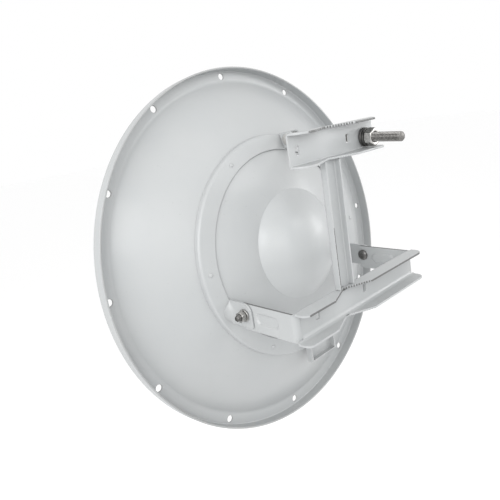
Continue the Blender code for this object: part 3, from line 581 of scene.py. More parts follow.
def carved(shape, tool, operation="DIFFERENCE"):
    """Shape less the tool, or what the two share or make together."""
    drafts = []
    for part in (shape, tool):
        bmesh.ops.remove_doubles(part, verts=part.verts, dist=1e-6)
        bmesh.ops.recalc_face_normals(part, faces=part.faces)
        mesh = bpy.data.meshes.new("draft")
        part.to_mesh(mesh)
        part.free()
        draft = bpy.data.objects.new("draft", mesh)
        bpy.context.scene.collection.objects.link(draft)
        drafts.append(draft)
    step = drafts[0].modifiers.new("Carve", "BOOLEAN")
    step.operation = operation
    step.solver = "EXACT"
    step.object = drafts[1]
    whole = bmesh.new()
    whole.from_object(drafts[0], bpy.context.evaluated_depsgraph_get())
    for draft in drafts:
        mesh = draft.data
        bpy.data.objects.remove(draft)
        bpy.data.meshes.remove(mesh)
    if not whole.faces:
        raise RuntimeError("a carved shape came out empty")
    return whole


def bevelled(shape, width, angle, segments=2, where=None):
    """Shape with a bevel on its edges sharper than angle, or on those of them that where picks."""
    limit = math.radians(angle)
    edges = [edge for edge in shape.edges
             if len(edge.link_faces) == 2 and edge.calc_face_angle(0.0) > limit
             and (where is None or where(edge))]
    bmesh.ops.bevel(shape, geom=edges, offset=width, offset_type="OFFSET", segments=segments,
                    profile=0.5, affect="EDGES", material=-1, clamp_overlap=False, loop_slide=True)
    return shape


def softened(shape, width, angle=35.0, segments=2, where=None):
    """Cleaned shape with its sharp edges rounded by width."""
    bmesh.ops.remove_doubles(shape, verts=shape.verts, dist=1e-5)
    bmesh.ops.dissolve_degenerate(shape, dist=1e-5, edges=shape.edges)
    bevelled(shape, width, angle, segments, where)
    bmesh.ops.remove_doubles(shape, verts=shape.verts, dist=1e-6)
    wide = [face for face in shape.faces if len(face.verts) > 4]
    bmesh.ops.triangulate(shape, faces=wide, quad_method="BEAUTY", ngon_method="BEAUTY")
    return shape


def placed(shape, matrix):
    bmesh.ops.transform(shape, matrix=matrix, verts=shape.verts)
    return shape


def thread(radius, pitch, low, high, steps, tip=0.0, depth_share=0.58):
    """Screw thread round Z from low to high, its top turned down to a cone over tip."""
    depth = depth_share * pitch
    turns = math.ceil((high - low) / pitch) + 2
    shape = bmesh.new()
    tooth = [(radius - depth, 0.0), (radius, 0.42), (radius, 0.58), (radius - depth, 1.0)]
    verts = [shape.verts.new((r, 0, low + (share - 1) * pitch)) for r, share in tooth]
    edges = [shape.edges.new(pair) for pair in zip(verts, verts[1:])]
    bmesh.ops.spin(shape, geom=verts + edges, **ABOUT_Z, dvec=(0, 0, pitch / steps),
                   angle=math.tau * turns, steps=steps * turns, use_merge=False)
    bmesh.ops.remove_doubles(shape, verts=shape.verts, dist=3e-5)
    for level, way in ((low, -1), (high, 1)):
        bmesh.ops.bisect_plane(shape, geom=everything(shape), dist=1e-6, plane_co=(0, 0, level),
                               plane_no=(0, 0, way), clear_outer=True)
        rim = [edge for edge in shape.edges if edge.is_boundary
               and all(abs(vert.co.z - level) < 1e-5 for vert in edge.verts)]
        bmesh.ops.holes_fill(shape, edges=rim, sides=0)
    for vert in shape.verts:
        room = radius - max(0.0, vert.co.z - (high - tip))
        out = math.hypot(vert.co.x, vert.co.y)
        if tip and out > room:
            vert.co.x *= room / out
            vert.co.y *= room / out
    bmesh.ops.recalc_face_normals(shape, faces=shape.faces)
    return shape


def hex_nut(across_flats, bore, chamfer, turn, low, high):
    """Hexagonal nut round Z with both faces turned and the bore countersunk."""
    corner = across_flats / math.sqrt(3)
    body = drum(corner, low, high, 6)
    bmesh.ops.rotate(body, verts=body.verts, matrix=Matrix.Rotation(math.radians(turn), 3, "Z"))
    spare, flat = corner * 1.2, across_flats / 2 * 0.96
    drop = (spare - flat) * math.tan(math.radians(28))
    turning = turned([(0, low), (flat, low), (spare, low + drop), (spare, high - drop),
                      (flat, high), (0, high)], 60)
    body = carved(body, turning, "INTERSECT")
    mouth = bore + 2 * chamfer
    sink = turned([(0, low - chamfer), (mouth, low - chamfer), (bore, low + chamfer),
                   (bore, high - chamfer), (mouth, high + chamfer), (0, high + chamfer)], 32)
    return softened(carved(body, sink), 0.00018, 24, 1)


def flat_washer(radius, bore, low, high):
    """Stamped washer round Z, rolled over on its edges."""
    return turned(box(bore, radius, low, high, 0.0004), 48, 3)


def split_washer(radius, bore, low, high):
    """Spring washer round Z, cut through and sprung a little open."""
    shape = bmesh.new()
    edge, rise, steps = (high - low) * 0.16, (high - low) * 0.10, 44
    outline(shape, box(bore, radius, low, high - rise, edge), "XZ", 0.0, 2)
    bmesh.ops.spin(shape, geom=everything(shape), **ABOUT_Z, dvec=(0, 0, rise / steps),
                   angle=math.radians(351), steps=steps, use_merge=False)
    bmesh.ops.remove_doubles(shape, verts=shape.verts, dist=1e-6)
    return shape


def new_piece(name, shape, body, slot, material, *stands_for, matrix=None, sharp=40.0,
              weighted=True):
    """A finished piece at the origin that rides on a body and stands for CAD nodes."""
    bmesh.ops.remove_doubles(shape, verts=shape.verts, dist=1e-6)
    bmesh.ops.recalc_face_normals(shape, faces=shape.faces)
    if matrix is not None:
        bmesh.ops.transform(shape, matrix=matrix, verts=shape.verts)
    mesh = bpy.data.meshes.new(name)
    shape.to_mesh(mesh)
    shape.free()
    mesh.materials.append(material)
    mesh.shade_smooth()
    mesh.set_sharp_from_angle(angle=math.radians(sharp))
    item = bpy.data.objects.new(name, mesh)
    bpy.context.scene.collection.objects.link(item)
    if weighted:
        item.modifiers.new("Even shading", "WEIGHTED_NORMAL").keep_sharp = True
    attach(item, body)
    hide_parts(*stands_for)
    return item


# ---- dish

def bowl_back(sizes, radius):
    return -sizes.bowl_depth * (1 - (radius / sizes.bowl_radius) ** 2)


def bowl_front(sizes, radius):
    slope = 2 * sizes.bowl_depth * radius / sizes.bowl_radius ** 2
    return bowl_back(sizes, radius) + sizes.sheet * math.hypot(1, slope)


def ring_top(sizes, radius):
    """Height of the ring's back face in the dish frame."""
    return (bowl_back(sizes, sizes.ring_inner) - sizes.ring_rise
            + RING_CONE_SLOPE * (radius - sizes.ring_inner))


def make_reflector(sizes, settings):
    radii = spread(THROAT_RADIUS, sizes.bowl_radius - BRINK, 30)
    back = [(radius, bowl_back(sizes, radius)) for radius in radii]
    front = [(radius, bowl_front(sizes, radius)) for radius in radii]
    inside = sizes.lip_radius - sizes.sheet
    corners = back + [
        (sizes.bowl_radius + 0.0006, 0.0, 0.007),
        (inside, 0.0, 0.0012),
        (inside, -sizes.lip_depth, 0.0008),
        (sizes.lip_radius, -sizes.lip_depth, 0.0008),
        (sizes.lip_radius, sizes.sheet, sizes.lip_corner),
        (sizes.bowl_radius - 0.0002, sizes.sheet, 0.005),
    ] + front[::-1]
    shell = turned(corners, 12 * sizes.hole_count)
    cutters = []
    for index in range(sizes.hole_count):
        turn = math.tau * index / sizes.hole_count
        centre = (sizes.hole_circle * math.sin(turn), -sizes.hole_circle * math.cos(turn))
        cutters.append(drum(sizes.hole_radius, -0.003, 0.005, 28, centre))
    shell = carved(shell, joined(*cutters))

    def near_hole(edge):
        middle = (edge.verts[0].co + edge.verts[1].co) / 2
        out = math.hypot(middle.x, middle.y)
        return abs(out - sizes.hole_circle) < sizes.hole_radius * 1.05 and middle.z > -0.001

    new_piece("pressed_reflector", bevelled(shell, HOLE_EDGE, 50, where=near_hole), "dish",
              "dish_paint",
              powder_coat("reflector_powder_coat", settings.paint, settings, rim_wear(sizes)),
              "reflector", matrix=IN_DISH, sharp=45)


def make_ring(sizes, settings):
    inner, outer = sizes.ring_inner, sizes.ring_outer
    seat = [(radius, bowl_back(sizes, radius) - GAP)
            for radius in spread(inner + RING_SEAT_INSET, outer, 9)]
    top = ring_top(sizes, inner)
    corners = seat + [
        (outer, bowl_back(sizes, outer) - 0.0012),
        (outer - 0.0004, ring_top(sizes, outer), 0.0030),
        (inner, top, 0.0008),
        (inner, top + 0.0010),
    ]
    coat = powder_coat("ring_powder_coat", settings.paint, settings)
    new_piece("pressed_ring", turned(corners, 144), "dish", "dish_paint", coat, "mounting_ring",
              matrix=IN_DISH)
    seat_height = ring_top(sizes, RIVET_CIRCLE_RADIUS) - GAP
    inside = bowl_front(sizes, RIVET_CIRCLE_RADIUS) + 0.0005
    stem, lean = RIVET_STEM_RADIUS, math.atan(RING_CONE_SLOPE)
    for number, angle in enumerate(RIVET_ANGLES, start=1):
        head = dome(RIVET_HEAD_RADIUS, RIVET_RISE, seat_height, RIVET_DOME)
        rivet = turned(head + [(RIVET_HEAD_RADIUS * 1.02, seat_height + 0.0004),
                               (stem, seat_height + 0.0006), (stem, inside), (0, inside)], 24)
        tilt = (Matrix.Translation((0, 0, seat_height)) @ Matrix.Rotation(lean, 4, "X")
                @ Matrix.Translation((0, 0, -seat_height)))
        spin = (Matrix.Rotation(math.pi + math.radians(angle), 4, "Z")
                @ Matrix.Translation((0, RIVET_CIRCLE_RADIUS, 0)))
        new_piece("domed_rivet_%d" % number, placed(rivet, spin @ tilt), "dish", "dish_paint", coat,
                  "ring_rivet_%d" % number, matrix=IN_DISH, sharp=60, weighted=False)


def make_cover(sizes, settings):
    foot = sizes.cover_radius
    base = bowl_back(sizes, foot) - GAP
    sphere = (foot ** 2 + sizes.cover_height ** 2) / (2 * sizes.cover_height)
    centre = base + sphere - sizes.cover_height
    edge = math.asin(foot / sphere)
    cap = [(sphere * math.sin(angle), centre - sphere * math.cos(angle))
           for angle in spread(edge * COVER_EDGE_SHARE, 0.0, 22)]
    flare = foot + 0.0006
    corners = [(flare, bowl_back(sizes, flare) - 0.0002), (foot, base - 0.0002, 0.0005)] + cap
    seat = [(radius, bowl_back(sizes, radius) + 0.0004) for radius in (0.0, 0.02, 0.04, flare)]
    new_piece("domed_cover", turned(corners + seat, 128), "dish", "cover_paint",
              powder_coat("cover_powder_coat", settings.cover_paint, settings), "rear_cover",
              matrix=IN_DISH)


def make_feed(sizes, settings):
    vertex = bowl_back(sizes, THROAT_RADIUS)
    collar_low = bowl_front(sizes, FEED_COLLAR_RADIUS) + GAP
    collar_top = collar_low + FEED_COLLAR_THICKNESS
    focus = bowl_front(sizes, 0.0) + sizes.bowl_radius ** 2 / (4 * sizes.bowl_depth)
    plate = focus - FEED_HEAD_THICKNESS / 2
    metal = worn_steel("feed_aluminium", settings.feed_metal, settings, 0.34, DISH_FRAME,
                       (0.1, 0.1, 1.0))
    radius, groove, inside = FEED_RADIUS, FEED_RADIUS - 0.0006, FEED_RADIUS - FEED_WALL
    tube = turned([(radius, plate), (radius, collar_top + 0.006, 0.0004),
                   (groove, collar_top + 0.0055, 0.0004), (groove, collar_top + 0.0040),
                   (radius, collar_top + 0.0035), (radius, vertex), (inside, vertex),
                   (inside, plate)], 64)
    new_piece("drawn_feed_tube", tube, "dish", "feed_metal", metal, "feed_tube", matrix=IN_DISH)
    ledge = collar_top - FEED_COLLAR_STEP
    collar = turned([(FEED_COLLAR_RADIUS, collar_low), (radius + GAP, collar_low),
                     (radius + GAP, collar_top, 0.0005), (radius + 0.0045, collar_top, 0.0008),
                     (radius + 0.0060, ledge, 0.0008), (FEED_COLLAR_RADIUS, ledge, 0.0009)], 96)
    new_piece("turned_feed_collar", collar, "dish", "feed_metal", metal, "feed_collar",
              matrix=IN_DISH)
    top = plate + FEED_HEAD_THICKNESS
    head = turned([(0, top - 0.0008), (FEED_HEAD_RADIUS * 0.45, top - 0.0008, 0.002),
                   (FEED_HEAD_RADIUS * 0.52, top, 0.001), (FEED_HEAD_RADIUS, top, 0.0022),
                   (FEED_HEAD_RADIUS, plate + 0.005, 0.0012), (radius, plate + GAP, 0.0015),
                   (0, plate + GAP)], 96)
    plastic = moulded_plastic("feed_head_plastic", settings.feed_plastic, settings)
    new_piece("moulded_feed_head", head, "dish", "feed_plastic", plastic, "sub_reflector",
              matrix=IN_DISH)


# ---- bracket

def toothed(sizes, start, end):
    """Saw teeth along an edge, from start to end, cutting back to its left."""
    start, end = Vector(start), Vector(end)
    span = end - start
    inward = Vector((-span.y, span.x)).normalized() * sizes.tooth_depth
    count = int(span.length / sizes.tooth_pitch)
    points = []
    for tooth in range(count):
        points.append(tuple(start + span * tooth / count))
        points.append(tuple(start + span * (tooth + 0.5) / count + inward))
    return points


def notch(sizes):
    """The toothed notch for the pole, from its left end to its right end."""
    left = (NOTCH_CENTRE - sizes.notch_half_width, FLANGE_BACK)
    right = (NOTCH_CENTRE + sizes.notch_half_width, FLANGE_BACK)
    bottom = (NOTCH_CENTRE, NOTCH_BOTTOM)
    return toothed(sizes, left, bottom) + toothed(sizes, bottom, right) + [right]


def bend_corner(sizes, edge, inward):
    """What a bend leaves off the square corner of a web's front face and an edge, in (y, z)."""
    front, past = sizes.sheet + 0.001, edge - inward * 0.001
    centre = (sizes.sheet - sizes.bend, edge + inward * sizes.bend)
    curve = arc(centre, sizes.bend, 0, -90 * inward, 8)
    return curve + [(centre[0], past), (front, past), (front, centre[1])]


def channelled(sizes, body, low, high, inner, flanges, web):
    """Blank less the hollow behind its web, rounded by inner, and less what its bends leave off."""
    past = FLANGE_BACK - OVERCUT
    trough = [(past, low + sizes.sheet), (0, low + sizes.sheet, inner),
              (0, high - sizes.sheet, inner), (past, high - sizes.sheet)]
    body = carved(body, slab(trough, "YZ", *flanges, 4))
    for edge, inward in ((high, -1), (low, 1)):
        body = carved(body, slab(bend_corner(sizes, edge, inward), "YZ", *web))
    return body


def strap_slots(sizes, centres):
    wide, tall = sizes.slot_width / 2, sizes.slot_height / 2
    return joined(*(slab(box(u - wide, u + wide, v - tall, v + tall, STRAP_SLOT_CORNER), "XZ",
                         *WEB_CUT, 2) for u, v in centres))


def bead(sizes, face, way):
    """Round-ended bead along an arm, pressed from its face towards way, and flared at the face."""
    low, high = BEAD_CENTRE - BEAD_HALF_HEIGHT, BEAD_CENTRE + BEAD_HALF_HEIGHT
    shape = slab(box(BEAD_START, BEAD_END, low, high, BEAD_CORNER), "YZ",
                 *sorted((face, face + way * sizes.bead_depth)))
    middle = Vector((0, (BEAD_START + BEAD_END) / 2, BEAD_CENTRE))
    wide = [vert for vert in shape.verts if abs(vert.co.x - face) < 1e-6]
    half_length = (BEAD_END - BEAD_START) / 2
    stretch = (1, 1 + BEAD_FLARE / half_length, 1 + BEAD_FLARE / BEAD_HALF_HEIGHT)
    bmesh.ops.scale(shape, vec=stretch, space=Matrix.Translation(-middle), verts=wide)
    return shape


def make_yoke(sizes, material):
    left, right, sheet, end = YOKE_LEFT, YOKE_RIGHT, sizes.sheet, sizes.arm_end
    low, high, inner = -sizes.yoke_half_height, sizes.yoke_half_height, YOKE_BEND - sheet
    web_left, web_right = left + YOKE_BEND, right - YOKE_BEND
    corners = [
        (left, end), (left, 0, YOKE_BEND), (web_left + RELIEF_SIDE, 0),
        (web_left + RELIEF_SIDE, YOKE_RELIEF), (YOKE_FLANGE_LEFT, YOKE_RELIEF, RELIEF_CORNER),
        (YOKE_FLANGE_LEFT, FLANGE_BACK, YOKE_FLANGE_CORNERS[0]),
    ] + notch(sizes) + [
        (YOKE_FLANGE_RIGHT, FLANGE_BACK, YOKE_FLANGE_CORNERS[1]),
        (YOKE_FLANGE_RIGHT, YOKE_RELIEF, RELIEF_CORNER), (web_right - RELIEF_SIDE, YOKE_RELIEF),
        (web_right - RELIEF_SIDE, 0), (right, 0, YOKE_BEND), (right, end), (right - sheet, end),
        (right - sheet, sheet, inner), (left + sheet, sheet, inner), (left + sheet, end),
    ]
    web = (web_left - ARM_ROOT, web_right + ARM_ROOT)
    body = channelled(sizes, slab(corners, "XY", low, high, 8), low, high, YOKE_INNER_BEND,
                      (YOKE_FLANGE_LEFT - 0.001, YOKE_FLANGE_RIGHT + 0.001), web)
    back, past, above, below = -0.0005, end + OVERCUT, high + OVERCUT, low - OVERCUT
    top = [(back, ARM_TOP), (end, ARM_TOP, ARM_CORNER), (end, 0), (past, 0), (past, above),
           (back, above)]
    bottom = [(past, 0), (end, 0), (end, ARM_BOTTOM, ARM_CORNER), (back, ARM_BOTTOM),
              (back, below), (past, below)]
    for x_low, x_high in ((left - ARM_CUT, web[0]), (web[1], right + ARM_CUT)):
        for edge in (top, bottom):
            body = carved(body, slab(edge, "YZ", x_low, x_high, 8))
    body = carved(body, strap_slots(sizes, YOKE_SLOTS))
    pivot = (PIVOT.y, PIVOT.z)
    for arm, way in ((left, 1), (right, -1)):
        body = carved(body, drum(PIVOT_BORE, arm - ARM_CUT, arm + ARM_CUT, 32, pivot, "YZ"))
        body = carved(body, bead(sizes, arm, way))
        body = carved(body, bead(sizes, arm + way * sheet, way), "UNION")
    new_piece("bent_yoke", softened(body, sizes.edge, 30), "mount", "bracket_paint", material,
              "yoke")


def make_upper_channel(sizes, material):
    corners = ([(UPPER_LEFT, sizes.sheet), (UPPER_LEFT, FLANGE_BACK, UPPER_CORNERS[0])]
               + notch(sizes)
               + [(UPPER_RIGHT, FLANGE_BACK, UPPER_CORNERS[1]), (UPPER_RIGHT, sizes.sheet)])
    span = (UPPER_LEFT - 0.002, UPPER_RIGHT + 0.002)
    body = channelled(sizes, slab(corners, "XY", UPPER_BOTTOM, UPPER_TOP, 8), UPPER_BOTTOM,
                      UPPER_TOP, sizes.bend - sizes.sheet, span, span)
    half = ROD_SLOT_WIDTH / 2
    rod_slot = box(PIN.x - half, PIN.x + half, ROD_SLOT_BOTTOM, ROD_SLOT_TOP, half * 0.98)
    slots = joined(strap_slots(sizes, UPPER_SLOTS), slab(rod_slot, "XZ", *WEB_CUT, 8))
    body = carved(carved(body, slots), slab(UPPER_TOP_CUT, "XY", UPPER_TOP - 2 * sizes.sheet,
                                            UPPER_TOP + sizes.sheet))
    new_piece("bent_upper_channel", softened(body, sizes.edge, 30), "mount", "bracket_paint",
              material, "upper_channel")


def make_post(sizes, material):
    inner = sizes.bend - sizes.sheet + 0.0005
    left, right, sheet = POST_LEFT, POST_RIGHT, sizes.sheet
    corners = [(left, POST_BACK), (left + sheet, POST_BACK), (left + sheet, 0, inner),
               (right - sheet, 0, inner), (right - sheet, POST_BACK), (right, POST_BACK),
               (right, sheet, sizes.bend), (left, sheet, sizes.bend)]
    body = slab(corners, "XY", sizes.yoke_half_height + GAP, UPPER_BOTTOM - GAP, 6)
    new_piece("bent_post", softened(body, sizes.edge, 35), "mount", "bracket_paint", material,
              "post_channel")


# ---- brackets on the ring

def to_axis(y_dish, z_dish):
    """A point of the dish frame as (y, z) from the elevation axis."""
    y = -math.sin(DISH_TILT) * y_dish + math.cos(DISH_TILT) * z_dish + DISH_CENTRE.y - PIVOT.y
    z = -math.cos(DISH_TILT) * y_dish - math.sin(DISH_TILT) * z_dish + DISH_CENTRE.z - PIVOT.z
    return (y, z)


def foot_point(sizes, x, y_dish):
    """Where a plate at x stands on the ring at that height, as (y, z) from the elevation axis."""
    radius = max(math.hypot(x, y_dish), sizes.ring_inner)
    return to_axis(y_dish, ring_top(sizes, radius) - GAP)


def make_lugs(dish, sizes, material):
    half = (YOKE_RIGHT - YOKE_LEFT) / 2 + GAP
    outer = half + sizes.sheet
    high, low = foot_point(dish, half, LUG_FOOT[0]), foot_point(dish, half, LUG_FOOT[1])
    foot_y, middle = (low[0] + high[0]) / 2, (low[1] + high[1]) / 2
    lean = (high[0] - low[0]) / (high[1] - low[1])
    tilt = RING_CONE_SLOPE * 0.9
    shear = Matrix(((1, 0, 0, 0), (tilt, 1, lean, -tilt * outer - lean * middle), (0, 0, 1, 0),
                    (0, 0, 0, 1)))
    section = [(half, LUG_BACK - 0.004), (half, foot_y), (outer + LUG_FLARE, foot_y + 0.0006),
               (outer + LUG_FLARE, foot_y - 0.0001), (outer, foot_y - 0.0001, LUG_FLARE - 0.0002),
               (outer, LUG_BACK - 0.004)]
    past = foot_y + 0.006
    profile = [(past, LUG_BOTTOM), (past, high[1]), (LUG_BACK, LUG_TOP, EAR_RADIUS),
               (LUG_BACK, LUG_BOTTOM, LUG_CORNER)]
    for side, sign in (("left", -1), ("right", 1)):
        body = slab(section, "XY", LUG_BOTTOM - 0.001, high[1] + 0.001, 12)
        for step in range(1, LUG_CUTS):
            level = LUG_BOTTOM + (high[1] - LUG_BOTTOM) * step / LUG_CUTS
            bmesh.ops.bisect_plane(body, geom=everything(body), dist=1e-6, plane_co=(0, 0, level),
                                   plane_no=(0, 0, 1))
        for vert in body.verts:
            if vert.co.x > outer + 1e-6:
                room = min(high[1] + 0.0006 - vert.co.z, vert.co.z - LUG_BOTTOM + 0.0006)
                share = min(1.0, max(0.03, room / LUG_FADE))
                share = share * share * (3 - 2 * share)
                vert.co.x = outer + (vert.co.x - outer) * share
                vert.co.y = foot_y - (foot_y - vert.co.y) * share
        blank = slab(profile, "YZ", half - 0.001, outer + LUG_FLARE + 0.002, 10)
        body = carved(placed(body, shear), blank, "INTERSECT")
        body = carved(body, drum(PIVOT_BORE, half - 0.002, outer + 0.002, 32, (0, 0), "YZ"))
        body = softened(body, sizes.edge, 50, where=lambda edge: all(
            vert.co.y < foot_y - LUG_FLARE and vert.co.x < outer + 1e-4 for vert in edge.verts))
        if sign < 0:
            bmesh.ops.scale(body, vec=(-1, 1, 1), verts=body.verts)
        new_piece(side + "_formed_lug", body, "dish", "dish_paint", material, side + "_lug",
                  matrix=ON_PIVOT, sharp=50)


def make_top_clevis(dish, sizes, material):
    middle = PIN.x - PIVOT.x
    pin = (PIN.y - PIVOT.y, PIN.z - PIVOT.z)
    low = foot_point(dish, middle - CLEVIS_HALF_WIDTH, -CLEVIS_FOOT[0])
    high = foot_point(dish, middle - CLEVIS_HALF_WIDTH, -CLEVIS_FOOT[1])
    ear = arc(pin, EAR_RADIUS, 100, 260, 16)
    x_low, x_high = middle - CLEVIS_HALF_WIDTH, middle + CLEVIS_HALF_WIDTH
    body = slab([high] + ear + [low], "YZ", x_low, x_high)
    face_low, face_high = low[0] - sizes.sheet, high[0] - sizes.sheet
    back, above = pin[0] - 0.04, pin[1] + 0.03
    room = [(face_low, low[1]), (face_high, high[1]), (face_high, above), (back, above),
            (back, pin[1] - 0.03), (face_low, pin[1] - 0.03)]
    body = carved(body, slab(room, "YZ", x_low + sizes.sheet, x_high - sizes.sheet))
    body = carved(body, drum(PIN_BORE, x_low - 0.001, x_high + 0.001, 32, pin, "YZ"))
    new_piece("formed_top_clevis", softened(body, sizes.edge, 35), "dish", "dish_paint", material,
              "top_clevis", matrix=ON_PIVOT)


def make_bottom_bracket(dish, sizes, material):
    top = Vector((SPARE_TOP, ring_top(dish, dish.ring_inner) - GAP))
    low = Vector((SPARE_LOW, ring_top(dish, SPARE_LOW) - GAP))
    end = Vector((SPARE_END, SPARE_END_HEIGHT))
    depth, sheet = Vector((0, -SPARE_DEPTH)), Vector((0, -sizes.sheet))
    corners = [tuple(top), tuple(low), tuple(end), tuple(end + depth) + (SPARE_CORNER,),
               tuple(low + depth), tuple(top + depth) + (SPARE_CORNER,)]
    body = slab(corners, "YZ", SPARE_LEFT, SPARE_RIGHT, 6)
    above, below, behind = SPARE_TOP - OVERCUT, SPARE_END - sizes.sheet, end.y - 0.03
    wall = low.y - sizes.sheet + (end.y - low.y) * (below - low.x) / (end.x - low.x)
    room = [(above, top.y - sizes.sheet), tuple(top + sheet), tuple(low + sheet), (below, wall),
            (below, behind), (above, behind)]
    body = carved(body, slab(room, "YZ", SPARE_LEFT + sizes.sheet, SPARE_RIGHT - sizes.sheet))
    new_piece("formed_bottom_bracket", softened(body, sizes.edge, 35), "dish", "dish_paint",
              material, "bottom_clevis", matrix=IN_DISH)


# ---- fasteners

def along_x(location, sign=1):
    """Turns what was drawn along Z to lie along X at a place."""
    return Matrix.Translation(location) @ Matrix.Rotation(sign * math.pi / 2, 4, "Y")


def stack(level, way, body, matrix, rows):
    """Washers and nuts one on another from a level, a gap apart, each with its height."""
    for name, make, measures, height, slot, material, node in rows:
        low, high = sorted((level, level + way * height))
        new_piece(name, make(*measures, low, high), body, slot, material, node, matrix=matrix)
        level += way * (height + GAP)


def make_pivots(brackets, sizes, settings):
    grip = 2 * brackets.sheet + 2 * GAP
    for side, sign, arm in (("left", -1, YOKE_LEFT), ("right", 1, YOKE_RIGHT)):
        spot = (arm - sign * brackets.sheet, PIVOT.y, PIVOT.z)
        frame, place = (spot, (0, sign * math.pi / 2, 0)), along_x(spot, sign)
        dark = worn_steel(side + "_bolt_dark_steel", settings.dark_steel, settings, 0.30, frame,
                          (0.2, 0.2, 1.0), (sizes.bolt_radius * 0.82, sizes.bolt_radius * 0.98))
        # A lighter copy of the steel for the washers and nuts: polished steel, lightened further as
        # a painted glint.
        bright = worn_steel(side + "_nut_bright_steel", shade(settings.steel, 1.1)[:3], settings,
                            0.24, frame, (0.15, 0.15, 1.0))
        head = turned([(0, -GAP), (PIVOT_HEAD_RADIUS, -GAP, 0.0004)]
                      + dome(PIVOT_HEAD_RADIUS, PIVOT_HEAD_HEIGHT, -GAP, PIVOT_DOME), 48)
        shank = thread(sizes.bolt_radius, sizes.bolt_pitch, -GAP * 0.5, grip + PIVOT_THREAD_END,
                       sizes.thread_steps, BOLT_TIP)
        new_piece(side + "_threaded_bolt", joined(head, shank), "mount", "dark_steel", dark,
                  side + "_pivot_bolt", matrix=place, sharp=50, weighted=False)
        stack(grip + GAP, 1, "mount", place, (
            (side + "_flat_washer", flat_washer, (PIVOT_WASHER_RADIUS, PIVOT_BORE),
             PIVOT_WASHER_THICKNESS, "bright_steel", bright, side + "_pivot_washer"),
            (side + "_hex_nut", hex_nut,
             (PIVOT_NUT_ACROSS_FLATS, PIVOT_BORE, PIVOT_NUT_CHAMFER, CORNER_ALONG_X),
             PIVOT_NUT_HEIGHT, "bright_steel", bright, side + "_pivot_nut")))


def make_pin(sizes, settings):
    width = 2 * CLEVIS_HALF_WIDTH
    spot = (PIN.x - CLEVIS_HALF_WIDTH, PIN.y, PIN.z)
    place, plain = along_x(spot), width - 0.001
    bright = worn_steel("pin_bright_steel", shade(settings.steel, 1.5)[:3], settings, 0.30,
                        (spot, (0, math.pi / 2, 0)), (0.2, 0.2, 1.0))
    radius, height = PIN_HEAD_RADIUS, PIN_HEAD_HEIGHT
    head = turned([(0, -GAP - height), (radius * 0.9, -GAP - height, 0.0006),
                   (radius, -GAP - height * 0.8, 0.0003), (radius, -GAP, 0.0002),
                   (PIN_RADIUS, -GAP), (PIN_RADIUS, plain), (0, plain)], 48)
    shank = thread(PIN_RADIUS, sizes.bolt_pitch, plain - 0.0002, width + PIN_THREAD_END,
                   sizes.thread_steps, BOLT_TIP)
    new_piece("headed_pin", joined(head, shank), "dish", "bright_steel", bright, "rod_pin",
              matrix=place, sharp=50, weighted=False)
    stack(width + GAP, 1, "dish", place, (
        ("pin_hex_nut", hex_nut,
         (PIN_NUT_ACROSS_FLATS, PIN_BORE, PIN_NUT_CHAMFER, CORNER_ALONG_X), PIN_NUT_HEIGHT,
         "bright_steel", bright, "rod_pin_nut"),))


def make_rod(sizes, settings):
    radius, plain, half = sizes.rod_radius, ROD_NECK_END, EYE_WIDTH / 2
    reach = (PIN.y - ROD_TIP_Y) / math.cos(ROD_SLOPE)
    # A darker copy of the steel for the rod: painted dark reflection.
    steel = worn_steel("rod_bright_steel", shade(settings.steel, 0.72)[:3], settings, 0.22,
                       ROD_FRAME, (0.12, 0.12, 1.0), (radius - 0.00085, radius - 0.0001))
    eye = softened(carved(drum(EYE_RADIUS, -half, half, 48, plane="YZ"),
                          drum(PIN_BORE, -half - 0.001, half + 0.001, 32, plane="YZ")), 0.0004, 40)
    neck = turned([(0, EYE_RADIUS * 0.75), (radius, EYE_RADIUS * 0.75), (radius, plain, 0.0003),
                   (0, plain)], 40)
    shank = thread(radius, sizes.rod_pitch, plain - 0.0004, reach, sizes.thread_steps,
                   sizes.rod_chamfer)
    new_piece("threaded_rod", joined(eye, neck, shank), "rod", "bright_steel", steel,
              "adjuster_rod", matrix=ON_ROD, sharp=50, weighted=False)


def make_rod_nuts(brackets, sizes, settings):
    # A lighter copy of the steel for the rod's nuts: painted highlight.
    bright = worn_steel("nut_bright_steel", shade(settings.steel, 1.6)[:3], settings, 0.22,
                        ROD_FRAME, (1.0, 0.15, 1.0))
    dark = worn_steel("washer_dark_steel", settings.dark_steel, settings, 0.30, ROD_FRAME,
                      (0.15, 0.15, 1.0))
    nut = (sizes.nut_across_flats, ROD_BORE, ROD_NUT_CHAMFER, FLAT_ALONG_X)
    flat = (FLAT_WASHER_RADIUS, ROD_BORE)
    stack(PIN.y / math.cos(ROD_SLOPE) + OUTER_WEB_CLEARANCE, 1, "nuts", ON_ROD, (
        ("outer_flat_washer", flat_washer, flat, FLAT_WASHER_THICKNESS, "dark_steel", dark,
         "outer_washer"),
        ("split_spring_washer", split_washer, (SPRING_WASHER_RADIUS, ROD_BORE),
         SPRING_WASHER_THICKNESS, "dark_steel", dark, "spring_washer"),
        ("outer_hex_nut", hex_nut, nut, sizes.nut_height, "bright_steel", bright, "outer_nut")))
    inner = (PIN.y - brackets.sheet) / math.cos(ROD_SLOPE) - INNER_WEB_CLEARANCE
    stack(inner, -1, "nuts", ON_ROD, (
        ("inner_flat_washer", flat_washer, flat, FLAT_WASHER_THICKNESS, "dark_steel", dark,
         "inner_washer"),
        ("inner_hex_nut", hex_nut, nut, sizes.nut_height, "bright_steel", bright, "inner_nut")))


# ---- stage

